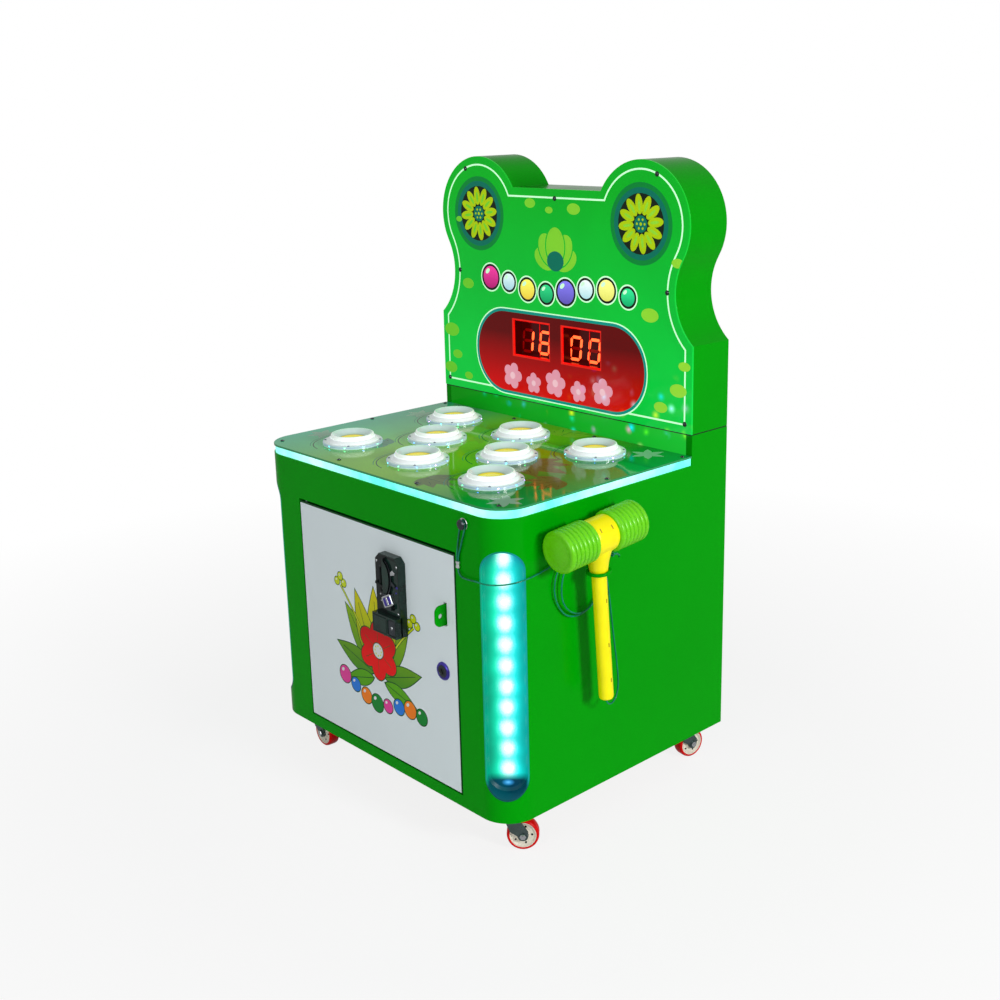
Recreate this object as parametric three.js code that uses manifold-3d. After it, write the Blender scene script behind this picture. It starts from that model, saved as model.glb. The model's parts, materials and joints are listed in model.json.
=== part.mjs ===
// Mole pounding arcade machine: cabinet with eight lit moles, score sign, coin door and a tethered mallet.
// Millimetres, +Z up, the front faces -Y. Pieces are drawn with the floor at zero and the cabinet centred,
// and the last lines move the origin to the middle of the footprint.
import * as THREE from 'three';
import { mergeVertices } from 'three/addons/utils/BufferGeometryUtils.js';
import Module from 'manifold-3d';

const wasm = await Module();
wasm.setup();

// Clearances and the drawing fineness
const seatGap = 0.3;
const runGap = 0.6;
const overrun = 2;
const roundSegments = 16;
const smallSegments = 8;
const arcSegments = 6;
const lampSegments = 3;
const cordSteps = 80;
const eyeSteps = 26;
const gapSamples = 1200;
const gapSkip = 20;
const armSteps = 7;

// Cabinet
const cabinetWidth = 600;
const cabinetDepth = 500;
const undersideHeight = 68;
const sideTop = 542.5;
const riserRise = 50.3;
const boardThickness = 12;
const cornerRadius = 51.5;
const shellReach = 60;
const columnDepth = 88.3;
const riserDrop = 60;
const halfWidth = cabinetWidth / 2;
const frontY = -cabinetDepth / 2;
const backY = cabinetDepth / 2;
const innerX = halfWidth - boardThickness;
const innerFrontY = frontY + boardThickness;
const innerBackY = backY - boardThickness;
const shellBackY = frontY + shellReach;
const riserY = backY - columnDepth;
const seamHeight = sideTop + riserRise;
const cornerX = halfWidth - cornerRadius;
const cornerY = frontY + cornerRadius;

// Playfield: printed board, light strip round its edge and a clear cover
const stripHeight = 12.5;
const stripWidth = 6;
const stripInset = 2;
const coverThickness = 3;
const coverBottom = sideTop + stripHeight;
const coverTop = coverBottom + coverThickness;

// Moles
const moleSideSetback = 126;
const moleFrontSetback = 98;
const moleBackSetback = 89.7;
const molePitch = halfWidth - moleSideSetback;
const moleFrontRowY = frontY + moleFrontSetback;
const moleBackRowY = riserY - moleBackSetback;
const moleRowCentre = (moleFrontRowY + moleBackRowY) / 2;
const moleRowPitch = (moleBackRowY - moleFrontRowY) / 2;
const moleRowShares = [[-1, 0, 1], [-0.5, 0.5], [-1, 0, 1]];
const moleRadius = 36;
const moleRimHeight = 17.5;
const moleDiscRadius = 25;
const moleDiscHeight = 9.8;
const moleWall = 3;
const moleRimRound = 2.5;
const moleCrestShares = [0.25, 0.67];
const moleLipWidth = 3;
const moleLipHeight = 5;
const moleStemRadius = 6;
const moleTravel = 6;
const moleHole = moleRadius + runGap;
const flangeRadius = 50;
const flangeHeight = 5.5;
const flangeEdge = 1;
const collarHeight = 11;
const collarFoot = 43;
const collarWall = 2;
const switchBoardThickness = 6;
const switchBoardMargin = 36;
const switchPostRadius = 8;
const standoffRadius = 5;
const standoffSetback = 12;

// Score sign on the column: straight sides, drawn-in waist, two round lobes and a flat top
const shoulderRise = 140.3;
const waistRadius = 102.8;
const lobeRadius = 100;
const lobeX = 192;
const lobeRise = 323.9;
const flatRise = 48.5;
const signStep = 1.8;
const signPanelThickness = 3;
const signBackThickness = 6;
const signFrontY = riserY - signStep;
const shoulderHeight = seamHeight + shoulderRise;
const lobeZ = seamHeight + lobeRise;
const signTop = lobeZ + flatRise;
const displayWidth = 90.5;
const displayHeight = 63.5;
const displayRise = 110.9;
const displayZ = seamHeight + displayRise;
const displayXs = [-63.2, 58];
const displayDepth = 20;
const displayWall = 3;
const displayFloor = 6;

// Corner lights
const slotWidth = 66;
const slotRise = 36;
const slotDrop = 47.5;
const slotBottom = undersideHeight + slotRise;
const slotTop = sideTop - slotDrop;
const trayWall = 2;
const trayDepth = 32;
const ledCount = 11;
const ledDrop = 21;
const ledRise = 39;
const ledTop = slotTop - ledDrop;
const ledPitch = (ledTop - slotBottom - ledRise) / (ledCount - 1);
const ledRadius = 4;
const ledHeight = 2.5;
const ledStripWidth = 14;
const ledStripThickness = 2;

// Coin door
const doorLeft = -195.3;
const doorRight = 199.3;
const doorRise = 21.5;
const doorDrop = 68.7;
const doorBottom = undersideHeight + doorRise;
const doorTop = sideTop - doorDrop;
const doorThickness = 15;
const doorSideGap = 2;
const doorTopGap = 4;
const doorBottomGap = 2;
const hingeInset = 12;
const hingeDepth = 6;
const hingeRadius = 3;
const hingeReach = 8;
const hingeX = doorLeft + hingeInset;
const hingeY = frontY + hingeDepth;

// Coin acceptor on the door
const acceptorLeft = 24;
const acceptorRight = 82;
const acceptorHeight = 127;
const acceptorDrop = 33.8;
const acceptorTop = doorTop - acceptorDrop;
const acceptorBottom = acceptorTop - acceptorHeight;
const acceptorProud = 14;
const acceptorChamfer = 9;
const acceptorBodyInset = 6;
const acceptorBodyDepth = 60;
const coinSlotWidth = 4;
const coinSlotHeight = 34;
const coinSlotDepth = 22;
const coinSlotX = 42;
const coinSlotDrop = 40;
const coinSlotZ = acceptorTop - coinSlotDrop;
const rejectWidth = 20;
const rejectHeight = 24;
const rejectX = 58;
const rejectDrop = 72;
const rejectZ = acceptorTop - rejectDrop;
const rejectProud = 6;
const rejectTravel = 3;
const rejectStemRadius = 4;
const rejectStemLength = 18;
const cupProud = 10;
const cupHeight = 32;
const cupWall = 3;
const cupMouthWidth = 32;
const cupDepth = 34;
const flapThickness = 2;
const flapPinRadius = 1.5;

// Door lock, its cam and the padlock staple
const lockInset = 34.3;
const lockDrop = 192.8;
const lockZ = doorTop - lockDrop;
const lockRadius = 10;
const lockFlangeRadius = 14.5;
const lockFlangeThickness = 3;
const lockStubRadius = 4;
const lockStubLength = 6;
const camThickness = 2.5;
const camWidth = 14;
const camLength = 45;
const stapleInset = 25.3;
const stapleThickness = 3;
const stapleHeight = 33;
const stapleDrop = 82.8;
const stapleTop = doorTop - stapleDrop;
const stapleBottom = stapleTop - stapleHeight;
const stapleProud = 20;
const stapleHoleRadius = 4;
const stapleSlotGap = 1.8;
const stapleLegThickness = 3;
const stapleLegReach = 28.7;
const lockX = doorRight - lockInset;
const stapleX = doorRight - stapleInset;
const stapleLegEnd = doorRight + stapleLegReach;

// Tether: anchor screw, wire cord with an eye, crimped ferrule
const anchorInset = 78;
const anchorDrop = 17;
const anchorZ = sideTop - anchorDrop;
const anchorWasherRadius = 9;
const anchorWasherThickness = 1;
const anchorShankRadius = 3.5;
const anchorShankLength = 3.3;
const anchorHeadRadius = 8;
const anchorHeadHeight = 4;
const cordDiameter = 2.5;
const cordSides = 8;
const ferruleOffset = 12;
const ferruleDrop = 63.5;
const ferruleZ = anchorZ - ferruleDrop;
const ferruleWidth = 7;
const ferruleHeight = 10;
const ferruleThickness = 4.4;
const strandGap = 0.5;
const eyeArcSteps = 8;
const eyeFootShare = 0.12;
const eyeBendShare = 0.5;
const eyeTopShare = 0.06;
const eyeLeanShares = [0.3, 0.5];
const eyeSpreadShares = [1.4, 2];
const anchorX = halfWidth - anchorInset;
const ferruleX = anchorX - ferruleOffset;

// Mallet: hollow T with a bellows at each end, hung by its handle in a ring
const malletStandoff = 36;
const malletSetback = 155;
const malletY = frontY + malletSetback;
const malletDrop = 46.5;
const malletZ = sideTop - malletDrop;
const malletLean = THREE.MathUtils.degToRad(4.2);
const malletX = halfWidth + malletStandoff;
const headRadius = 32;
const headLength = 59;
const headPitch = 8.2;
const headRibs = 6;
const headRibDepth = 3;
const headRibShares = [0.3, 0.7];
const headFaceRound = 5;
const teeLength = 44;
const teeRadius = 28;
const teeEdge = 3;
const handleLength = 262;
const handleRadius = 11.5;
const handleEndRound = 3;
const neckRadius = 21;
const neckTop = 22;
const neckFade = 4;
const ringRadius = 16.3;
const ringRodRadius = 2.7;
const ringDrop = 55.5;
const ringPlateWidth = 26;
const ringPlateHeight = 34;
const ringPlateThickness = 2;
const ringPlateDrop = 32;
const ringPlateZ = malletZ - ringPlateDrop;
const neckBottom = ringDrop - ringRodRadius + seatGap;
const neckEndRadius = ringRadius - ringRodRadius * Math.SQRT1_2 - seatGap;

// Casters
const casterInset = 50;
const casterX = halfWidth - casterInset;
const casterY = backY - casterInset;
const casterTurns = { front_right: 45, rear_right: 80, front_left: -3, rear_left: -50 };
const wheelRadius = 25;
const wheelWidth = 20;
const treadDepth = 4;
const treadRound = 3;
const hubRecess = 2;
const hubRadius = 8;
const axleRadius = 3;
const trail = 20;
const casterPlateLength = 62;
const casterPlateWidth = 54;
const casterPlateThickness = 2.5;
const racewayRadius = 20;
const racewayHeight = 6;
const kingpinRadius = 5;
const forkThickness = 2.5;
const forkGap = 1;
const forkTopThickness = 3;
const forkBootRadius = 8;
const boltHeadRadius = 5.5;
const boltHeadHeight = 2.5;

// Inside and back fittings
const coinBoxX = 53;
const coinBoxWidth = 150;
const coinBoxDepth = 120;
const coinBoxHeight = 110;
const coinBoxWall = 1.5;
const coinBoxSetback = 22;
const controlBoxX = -150;
const controlBoxSetback = 130;
const controlBoxY = backY - controlBoxSetback;
const controlBoxWidth = 170;
const controlBoxDepth = 110;
const controlBoxHeight = 50;
const speakerRadius = 45;
const speakerDepth = 38;
const speakerFlangeThickness = 3;
const speakerMagnetRadius = 24;
const speakerDrop = 122.5;
const speakerZ = sideTop - speakerDrop;
const ventCount = 6;
const ventPitch = 14;
const ventWidth = 90;
const ventHeight = 5;
const inletX = 170;
const inletRise = 62;
const inletZ = undersideHeight + inletRise;
const inletWidth = 50;
const inletHeight = 58;
const inletProud = 2;
const inletDepth = 28;
const inletSocketWidth = 25;
const inletSocketHeight = 19;
const inletSocketDepth = 16;
const inletBezel = 5;

// Turn a closed geometry into a solid, whichever way its faces were wound
function toSolid(source) {
  const geometry = source.clone();
  geometry.deleteAttribute('normal');
  geometry.deleteAttribute('uv');
  const merged = mergeVertices(geometry);
  const points = merged.attributes.position;
  const index = merged.index.array;
  const corners = [0, 1, 2].map(() => new THREE.Vector3());
  const kept = [];
  let volume = 0;
  for (let i = 0; i < index.length; i += 3) {
    const [a, b, c] = [index[i], index[i + 1], index[i + 2]];
    if (a === b || b === c || c === a) continue;
    [a, b, c].forEach((vertex, k) => corners[k].fromBufferAttribute(points, vertex));
    volume += corners[0].dot(corners[1].clone().cross(corners[2]));
    kept.push(a, b, c);
  }
  if (volume < 0) kept.reverse();
  const mesh = new wasm.Mesh({
    numProp: 3,
    vertProperties: new Float32Array(points.array),
    triVerts: new Uint32Array(kept),
  });
  return new wasm.Manifold(mesh);
}

function toGeometry(solid) {
  const mesh = solid.getMesh();
  const geometry = new THREE.BufferGeometry();
  geometry.setAttribute('position', new THREE.BufferAttribute(mesh.vertProperties, 3));
  geometry.setIndex(new THREE.BufferAttribute(mesh.triVerts, 1));
  geometry.computeVertexNormals();
  return geometry;
}

// Basic solids, each given by where it starts and ends
function block([x0, x1], [y0, y1], [z0, z1]) {
  const geometry = new THREE.BoxGeometry(x1 - x0, y1 - y0, z1 - z0);
  geometry.translate((x0 + x1) / 2, (y0 + y1) / 2, (z0 + z1) / 2);
  return toSolid(geometry);
}

function extrude(shape, depth, curveSegments = arcSegments) {
  return new THREE.ExtrudeGeometry(shape, { depth, bevelEnabled: false, curveSegments });
}

function upright(shape, z0, z1, curveSegments) {
  return toSolid(extrude(shape, z1 - z0, curveSegments).translate(0, 0, z0));
}

function facing(shape, y0, y1, curveSegments) {
  const geometry = extrude(shape, y1 - y0, curveSegments);
  geometry.rotateX(Math.PI / 2);
  return toSolid(geometry.translate(0, y1, 0));
}

function sideways(shape, x0, x1) {
  const turn = new THREE.Matrix4().makeBasis(
    new THREE.Vector3(0, 1, 0), new THREE.Vector3(0, 0, 1), new THREE.Vector3(1, 0, 0));
  return toSolid(extrude(shape, x1 - x0).applyMatrix4(turn).translate(x0, 0, 0));
}

function polygon(points) {
  return new THREE.Shape(points.map(([x, y]) => new THREE.Vector2(x, y)));
}

function disc(x, y, radius) {
  const shape = new THREE.Shape();
  shape.absarc(x, y, radius, 0, 2 * Math.PI, false);
  return shape;
}

// A turned solid from [radius, height] pairs, its axis through the point given
function turned(profile, axis = 'z', at = [0, 0, 0], segments = roundSegments) {
  const points = profile.map(([radius, height]) => new THREE.Vector2(radius, height));
  const geometry = new THREE.LatheGeometry(points, segments);
  if (axis === 'x') geometry.rotateZ(-Math.PI / 2);
  if (axis === 'z') geometry.rotateX(Math.PI / 2);
  return toSolid(geometry.translate(...at));
}

function rod(axis, from, to, radius, at = [0, 0, 0], segments = smallSegments) {
  return turned([[0, from], [radius, from], [radius, to], [0, to]], axis, at, segments);
}

function routeThrough(points) {
  return new THREE.CatmullRomCurve3(points.map((point) => new THREE.Vector3(...point)));
}

function tube(points, diameter, steps) {
  const path = routeThrough(points);
  const section = new THREE.Shape();
  for (let side = 0; side < cordSides; side += 1) {
    const angle = (side / cordSides) * 2 * Math.PI;
    const corner = [Math.cos(angle) * diameter / 2, Math.sin(angle) * diameter / 2];
    if (side === 0) section.moveTo(...corner);
    else section.lineTo(...corner);
  }
  return toSolid(new THREE.ExtrudeGeometry(section, { steps, extrudePath: path, bevelEnabled: false }));
}

const machine = new THREE.Group();

function add(name, solid, [color, roughness, metalness], parent = machine) {
  const material = new THREE.MeshStandardMaterial({ color, roughness, metalness });
  const mesh = new THREE.Mesh(toGeometry(solid), material);
  mesh.name = name;
  parent.add(mesh);
  return mesh;
}

// Finishes: colour, roughness, metalness
const greenPaint = [0x00a51c, 0.25, 0];
const doorWhite = [0xcdd8dc, 0.25, 0];
const clearAcrylic = [0xbfe8d8, 0.08, 0];
const printedBoard = [0x5fb010, 0.3, 0];
const glowPlastic = [0x82fff5, 0.4, 0];
const signPrint = [0x00b42d, 0.2, 0];
const domeWhite = [0xf0fff2, 0.2, 0];
const blackPlastic = [0x14181a, 0.3, 0];
const displayRed = [0x8a0c08, 0.3, 0];
const trayBlue = [0x006a70, 0.2, 0];
const ledWhite = [0xeafffb, 0.3, 0];
const chrome = [0xc8ccd0, 0.15, 1];
const zincSteel = [0x9aa0a4, 0.35, 1];
const redTread = [0xd81810, 0.4, 0];
const malletYellow = [0xfff000, 0.4, 0];
const bellowsGreen = [0x5ac814, 0.35, 0];
const cordGreen = [0x087848, 0.35, 0];
const plywood = [0xb48c5a, 0.7, 0];
const circuitGreen = [0x1c6a38, 0.5, 0];

// Plan of the cabinet, square at the back and round at its front corners
function cabinetPlan(inset, back) {
  const width = halfWidth - inset;
  const front = frontY + inset;
  const radius = cornerRadius - inset;
  const plan = new THREE.Shape();
  plan.moveTo(-width, back);
  plan.lineTo(-width, front + radius);
  plan.absarc(radius - width, front + radius, radius, Math.PI, 1.5 * Math.PI, false);
  plan.lineTo(width - radius, front);
  plan.absarc(width - radius, front + radius, radius, 1.5 * Math.PI, 2 * Math.PI, false);
  plan.lineTo(width, back);
  return plan;
}

// A piece drawn in a corner's own frame: X across the diagonal, Y up, Z outwards from the cabinet
function atCorner(geometry, side) {
  const across = new THREE.Vector3(1, side, 0).normalize();
  const outward = new THREE.Vector3(side, -1, 0).normalize();
  const frame = new THREE.Matrix4().makeBasis(across, new THREE.Vector3(0, 0, 1), outward);
  frame.setPosition(side * cornerX, cornerY, 0);
  return toSolid(geometry.applyMatrix4(frame));
}

function stadium(inset) {
  const radius = slotWidth / 2 - inset;
  const [low, high] = [slotBottom + slotWidth / 2, slotTop - slotWidth / 2];
  const shape = new THREE.Shape();
  shape.absarc(0, low, radius, Math.PI, 2 * Math.PI, false);
  shape.absarc(0, high, radius, 0, Math.PI, false);
  return shape;
}

function cornerPrism(shape, from, to, side) {
  return atCorner(extrude(shape, to - from).translate(0, 0, from), side);
}

function makeFrontShell() {
  let shell = upright(cabinetPlan(0, shellBackY), undersideHeight, sideTop);
  const hollow = cabinetPlan(boardThickness, shellBackY + overrun);
  shell = shell.subtract(upright(hollow, undersideHeight - overrun, sideTop + overrun));
  shell = shell.subtract(block(
    [doorLeft - doorSideGap, doorRight + doorSideGap],
    [frontY - overrun, innerFrontY + overrun],
    [doorBottom - doorBottomGap, doorTop + doorTopGap]));
  for (const side of [-1, 1]) {
    shell = shell.subtract(cornerPrism(stadium(0), 0, cornerRadius + overrun, side));
  }
  return shell.subtract(rod('z', doorBottom - hingeReach - seatGap, doorTop + hingeReach + seatGap,
    hingeRadius + seatGap, [hingeX, hingeY, 0]));
}

function makeSidePanel(side) {
  const outline = polygon([
    [shellBackY + seatGap, undersideHeight], [backY, undersideHeight],
    [backY, seamHeight], [riserY, seamHeight],
    [riserY, sideTop], [shellBackY + seatGap, sideTop]]);
  return side > 0 ? sideways(outline, innerX, halfWidth) : sideways(outline, -halfWidth, -innerX);
}

function makeBottomBoard() {
  const plan = cabinetPlan(boardThickness + seatGap, innerBackY - seatGap);
  return upright(plan, undersideHeight, undersideHeight + boardThickness);
}

function makeBackPanel() {
  const width = innerX - seatGap;
  let panel = block([-width, width], [innerBackY, backY], [undersideHeight, seamHeight]);
  for (let i = 0; i < ventCount; i += 1) {
    const z = speakerZ + (i - (ventCount - 1) / 2) * ventPitch;
    panel = panel.subtract(block([-ventWidth / 2, ventWidth / 2],
      [innerBackY - overrun, backY + overrun], [z - ventHeight / 2, z + ventHeight / 2]));
  }
  return panel.subtract(block(
    [inletX - inletWidth / 2, inletX + inletWidth / 2],
    [innerBackY - overrun, backY + overrun],
    [inletZ - inletHeight / 2, inletZ + inletHeight / 2]));
}

function makeRiserBoard() {
  const width = innerX - seatGap;
  return block([-width, width], [riserY, riserY + boardThickness], [sideTop - riserDrop, seamHeight]);
}

const moleSpots = moleRowShares.flatMap((row, index) => row.map((share) => [
  share * molePitch, moleRowCentre + (index - 1) * moleRowPitch]));

function makePlayfieldBoard() {
  const plan = cabinetPlan(stripInset + stripWidth + seatGap, riserY - seatGap);
  for (const [x, y] of moleSpots) plan.holes.push(disc(x, y, moleHole));
  return upright(plan, sideTop, coverBottom, roundSegments / 2);
}

function makeGlowStrip() {
  const outer = upright(cabinetPlan(stripInset, riserY - seatGap), sideTop, coverBottom);
  const inner = cabinetPlan(stripInset + stripWidth, riserY + overrun);
  return outer.subtract(upright(inner, sideTop - overrun, coverBottom + overrun));
}

// Clear sheet with a screwed flange and a short cone bonded round every mole
function makePlayfieldCover() {
  const plan = cabinetPlan(0, riserY - seatGap);
  let cover = upright(plan, coverBottom, coverTop);
  const collar = [
    [0, coverBottom], [flangeRadius, coverBottom],
    [flangeRadius, coverTop + flangeHeight - flangeEdge],
    [flangeRadius - flangeEdge, coverTop + flangeHeight],
    [collarFoot, coverTop + flangeHeight],
    [moleHole + collarWall, coverTop + collarHeight],
    [0, coverTop + collarHeight]];
  const [low, high] = [coverBottom - overrun, coverTop + collarHeight + overrun];
  for (const [x, y] of moleSpots) {
    cover = cover.add(turned(collar, 'z', [x, y, 0]));
    cover = cover.subtract(rod('z', low, high, moleHole, [x, y, 0], roundSegments));
  }
  return cover;
}

// One mole: rim, bowl with a flat disc, skirt with a stop lip and a switch stem. Zero is the cover's top.
function makeMole() {
  const lipTop = sideTop - seatGap - coverTop;
  const lipBottom = lipTop - moleLipHeight;
  const inside = moleRadius - moleWall;
  return turned([
    [0, moleDiscHeight], [moleDiscRadius, moleDiscHeight],
    [inside - moleRimRound / 2, moleRimHeight - moleRimRound / 2],
    [inside + moleWall * moleCrestShares[0], moleRimHeight],
    [inside + moleWall * moleCrestShares[1], moleRimHeight - moleRimRound * moleCrestShares[0]],
    [moleRadius, moleRimHeight - moleRimRound],
    [moleRadius, lipTop], [moleRadius + moleLipWidth, lipTop],
    [moleRadius + moleLipWidth, lipBottom], [inside, lipBottom],
    [inside, moleDiscHeight], [moleDiscRadius, moleDiscHeight - moleWall],
    [moleStemRadius, moleDiscHeight - moleWall], [moleStemRadius, lipBottom],
    [0, lipBottom]]);
}

// Board under the moles: one switch post below each stem, hung from the playfield on standoffs
const switchPostTop = sideTop - seatGap - moleLipHeight - moleTravel - seatGap;
const switchBoardTop = switchPostTop - moleTravel;

function makeSwitchBoard() {
  const [x, y] = [molePitch + switchBoardMargin, moleRowPitch + switchBoardMargin];
  const [front, back] = [moleRowCentre - y, moleRowCentre + y];
  let board = block([-x, x], [front, back], [switchBoardTop - switchBoardThickness, switchBoardTop]);
  for (const [moleX, moleY] of moleSpots) {
    board = board.add(rod('z', switchBoardTop - overrun, switchPostTop, switchPostRadius, [moleX, moleY, 0]));
  }
  for (const [sideX, sideY] of [[-1, -1], [-1, 1], [1, -1], [1, 1]]) {
    const at = [sideX * (x - standoffSetback), moleRowCentre + sideY * moleRowPitch / 2, 0];
    board = board.add(rod('z', switchBoardTop - overrun, sideTop - seatGap, standoffRadius, at));
  }
  return board;
}

// Where two circles cross, on the side given
function circlesMeet([ax, ay], radiusA, [bx, by], radiusB, side) {
  const span = Math.hypot(bx - ax, by - ay);
  const along = (radiusA ** 2 - radiusB ** 2 + span ** 2) / (2 * span);
  const off = Math.sqrt(radiusA ** 2 - along ** 2) * side;
  const [ux, uy] = [(bx - ax) / span, (by - ay) / span];
  return [ax + along * ux - off * uy, ay + along * uy + off * ux];
}

// The sign's outline, drawn in by the inset
function signOutline(inset, bottom) {
  const [waistX, waistZ] = circlesMeet([lobeX, lobeZ], lobeRadius + waistRadius,
    [halfWidth, shoulderHeight], waistRadius, 1);
  const [hollow, lobe, width] = [waistRadius + inset, lobeRadius - inset, halfWidth - inset];
  const shoulder = waistZ - Math.sqrt(hollow ** 2 - (waistX - width) ** 2);
  const fromWaist = Math.atan2(shoulder - waistZ, width - waistX);
  const toLobe = Math.atan2(lobeZ - waistZ, lobeX - waistX);
  const top = signTop - inset;
  const dip = Math.PI - Math.asin((top - lobeZ) / lobe);
  const shape = new THREE.Shape();
  shape.moveTo(width, bottom);
  shape.lineTo(width, shoulder);
  shape.absarc(waistX, waistZ, hollow, fromWaist, toLobe, true);
  shape.absarc(lobeX, lobeZ, lobe, toLobe - Math.PI, dip, false);
  shape.absarc(-lobeX, lobeZ, lobe, Math.PI - dip, 2 * Math.PI - toLobe, false);
  shape.absarc(-waistX, waistZ, hollow, Math.PI - toLobe, Math.PI - fromWaist, true);
  shape.lineTo(-width, bottom);
  return shape;
}

const signRimFront = signFrontY + signPanelThickness;
const displaySpans = displayXs.map((x) => [x - displayWidth / 2, x + displayWidth / 2]);
const displayHeights = [displayZ - displayHeight / 2, displayZ + displayHeight / 2];

function makeSignRim() {
  const rim = signOutline(0, seamHeight);
  rim.holes.push(signOutline(boardThickness, seamHeight + boardThickness));
  return facing(rim, signRimFront, backY, smallSegments);
}

function makeSignBack() {
  const inset = boardThickness + seatGap;
  const outline = signOutline(inset, seamHeight + inset);
  return facing(outline, backY - signBackThickness, backY, smallSegments);
}

function makeSignFront() {
  let panel = facing(signOutline(0, seamHeight), signFrontY, signRimFront, smallSegments);
  for (const span of displaySpans) {
    panel = panel.subtract(block(span, [signFrontY - overrun, signRimFront + overrun], displayHeights));
  }
  return panel;
}

// A score display: open-fronted case behind its window, with the digits' plate at its back
function makeDisplay([left, right]) {
  const [low, high] = displayHeights;
  const back = signRimFront + displayDepth + displayFloor;
  const body = block([left - displayWall, right + displayWall], [signRimFront, back],
    [low - displayWall, high + displayWall]);
  const recess = [signRimFront - overrun, signRimFront + displayDepth];
  return body.subtract(block([left, right], recess, [low, high]));
}

// Lit trough let into each front corner
const trayFloor = cornerRadius - trayDepth;

function makeLightTray(side) {
  const outer = cornerPrism(stadium(seatGap), trayFloor - trayWall, cornerRadius, side);
  const inner = cornerPrism(stadium(seatGap + trayWall), trayFloor, cornerRadius + overrun, side);
  const skin = upright(cabinetPlan(0, shellBackY + cornerRadius), undersideHeight, sideTop);
  return outer.subtract(inner).intersect(skin);
}

function makeLedStrip(side) {
  const bottom = ledTop - (ledCount - 1) * ledPitch;
  const floor = trayFloor + seatGap;
  const half = ledStripWidth / 2;
  const base = polygon([
    [-half, bottom - half], [half, bottom - half], [half, ledTop + half], [-half, ledTop + half]]);
  let strip = cornerPrism(base, floor, floor + ledStripThickness, side);
  for (let i = 0; i < ledCount; i += 1) {
    const lamp = disc(0, ledTop - i * ledPitch, ledRadius);
    const geometry = extrude(lamp, ledStripThickness + ledHeight, lampSegments);
    strip = strip.add(atCorner(geometry.translate(0, 0, floor), side));
  }
  return strip;
}

// Coin door with its hinge bore and openings for the acceptor, lock and staple
const acceptorBody = [
  [acceptorLeft + acceptorBodyInset, acceptorRight - acceptorBodyInset],
  [acceptorBottom + acceptorBodyInset, acceptorTop - acceptorBodyInset]];

function grown([low, high], by) {
  return [low - by, high + by];
}

function makeDoor() {
  const through = [frontY - overrun, frontY + doorThickness + overrun];
  let door = block([doorLeft, doorRight], [frontY, frontY + doorThickness], [doorBottom, doorTop]);
  door = door.subtract(rod('z', doorBottom - overrun, doorTop + overrun, hingeRadius + seatGap,
    [hingeX, hingeY, 0]));
  door = door.subtract(block(grown(acceptorBody[0], seatGap), through, grown(acceptorBody[1], seatGap)));
  door = door.subtract(rod('y', ...through, lockRadius + seatGap, [lockX, 0, lockZ], roundSegments));
  const slotHalf = stapleThickness / 2 + stapleSlotGap;
  return door.subtract(block([stapleX - slotHalf, stapleX + slotHalf], through,
    grown([stapleBottom, stapleTop], stapleSlotGap)));
}

function makeHingeRod() {
  return rod('z', doorBottom - hingeReach, doorTop + hingeReach, hingeRadius, [hingeX, hingeY, 0]);
}

// Coin acceptor: chamfered face, coin slot, button well, and the return cup at its foot
const acceptorFaceY = frontY - acceptorProud;
const cupFrontY = acceptorFaceY - cupProud;
const cupTop = acceptorBottom + cupHeight;
const cupMouth = [acceptorLeft + cupWall, acceptorLeft + cupWall + cupMouthWidth];

function makeAcceptor() {
  const face = polygon([
    [acceptorLeft, acceptorBottom], [acceptorRight, acceptorBottom],
    [acceptorRight, acceptorTop - acceptorChamfer], [acceptorRight - acceptorChamfer, acceptorTop],
    [acceptorLeft + acceptorChamfer, acceptorTop], [acceptorLeft, acceptorTop - acceptorChamfer]]);
  let unit = facing(face, acceptorFaceY, frontY);
  unit = unit.add(block(acceptorBody[0], [frontY - overrun, frontY + acceptorBodyDepth], acceptorBody[1]));
  unit = unit.add(block([acceptorLeft, acceptorRight], [cupFrontY, acceptorFaceY + overrun],
    [acceptorBottom, cupTop]));
  unit = unit.subtract(block(grown([coinSlotX, coinSlotX], coinSlotWidth / 2),
    [acceptorFaceY - overrun, acceptorFaceY + coinSlotDepth],
    grown([coinSlotZ, coinSlotZ], coinSlotHeight / 2)));
  unit = unit.subtract(block(grown([rejectX, rejectX], rejectWidth / 2 + runGap),
    [acceptorFaceY - overrun, acceptorFaceY + rejectTravel + seatGap],
    grown([rejectZ, rejectZ], rejectHeight / 2 + runGap)));
  unit = unit.subtract(rod('y', acceptorFaceY, acceptorFaceY + rejectStemLength + rejectTravel + seatGap,
    rejectStemRadius + runGap, [rejectX, 0, rejectZ]));
  unit = unit.subtract(block(cupMouth, [cupFrontY - overrun, cupFrontY + cupDepth],
    [acceptorBottom + cupWall, cupTop - cupWall]));
  return unit;
}

function makeRejectButton() {
  const face = block(grown([rejectX, rejectX], rejectWidth / 2), [acceptorFaceY - rejectProud, acceptorFaceY],
    grown([rejectZ, rejectZ], rejectHeight / 2));
  return face.add(rod('y', acceptorFaceY - rejectProud / 2, acceptorFaceY + rejectStemLength,
    rejectStemRadius, [rejectX, 0, rejectZ]));
}

// Flap across the cup's mouth, turning inwards about a bar along its top edge
const flapPinZ = cupTop - cupWall - seatGap - flapPinRadius;
const flapPinY = cupFrontY + flapPinRadius;

function makeReturnFlap() {
  const span = [cupMouth[0] + seatGap, cupMouth[1] - seatGap];
  const leaf = block(span, [cupFrontY, cupFrontY + flapThickness],
    [acceptorBottom + cupWall + seatGap, flapPinZ]);
  return leaf.add(rod('x', ...span, flapPinRadius, [0, flapPinY, flapPinZ]));
}

// Lock barrel, and the cam on its square tail, which hangs down when the door is free
const camFrontY = frontY + doorThickness + seatGap;
const camBackY = camFrontY + camThickness;

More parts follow.
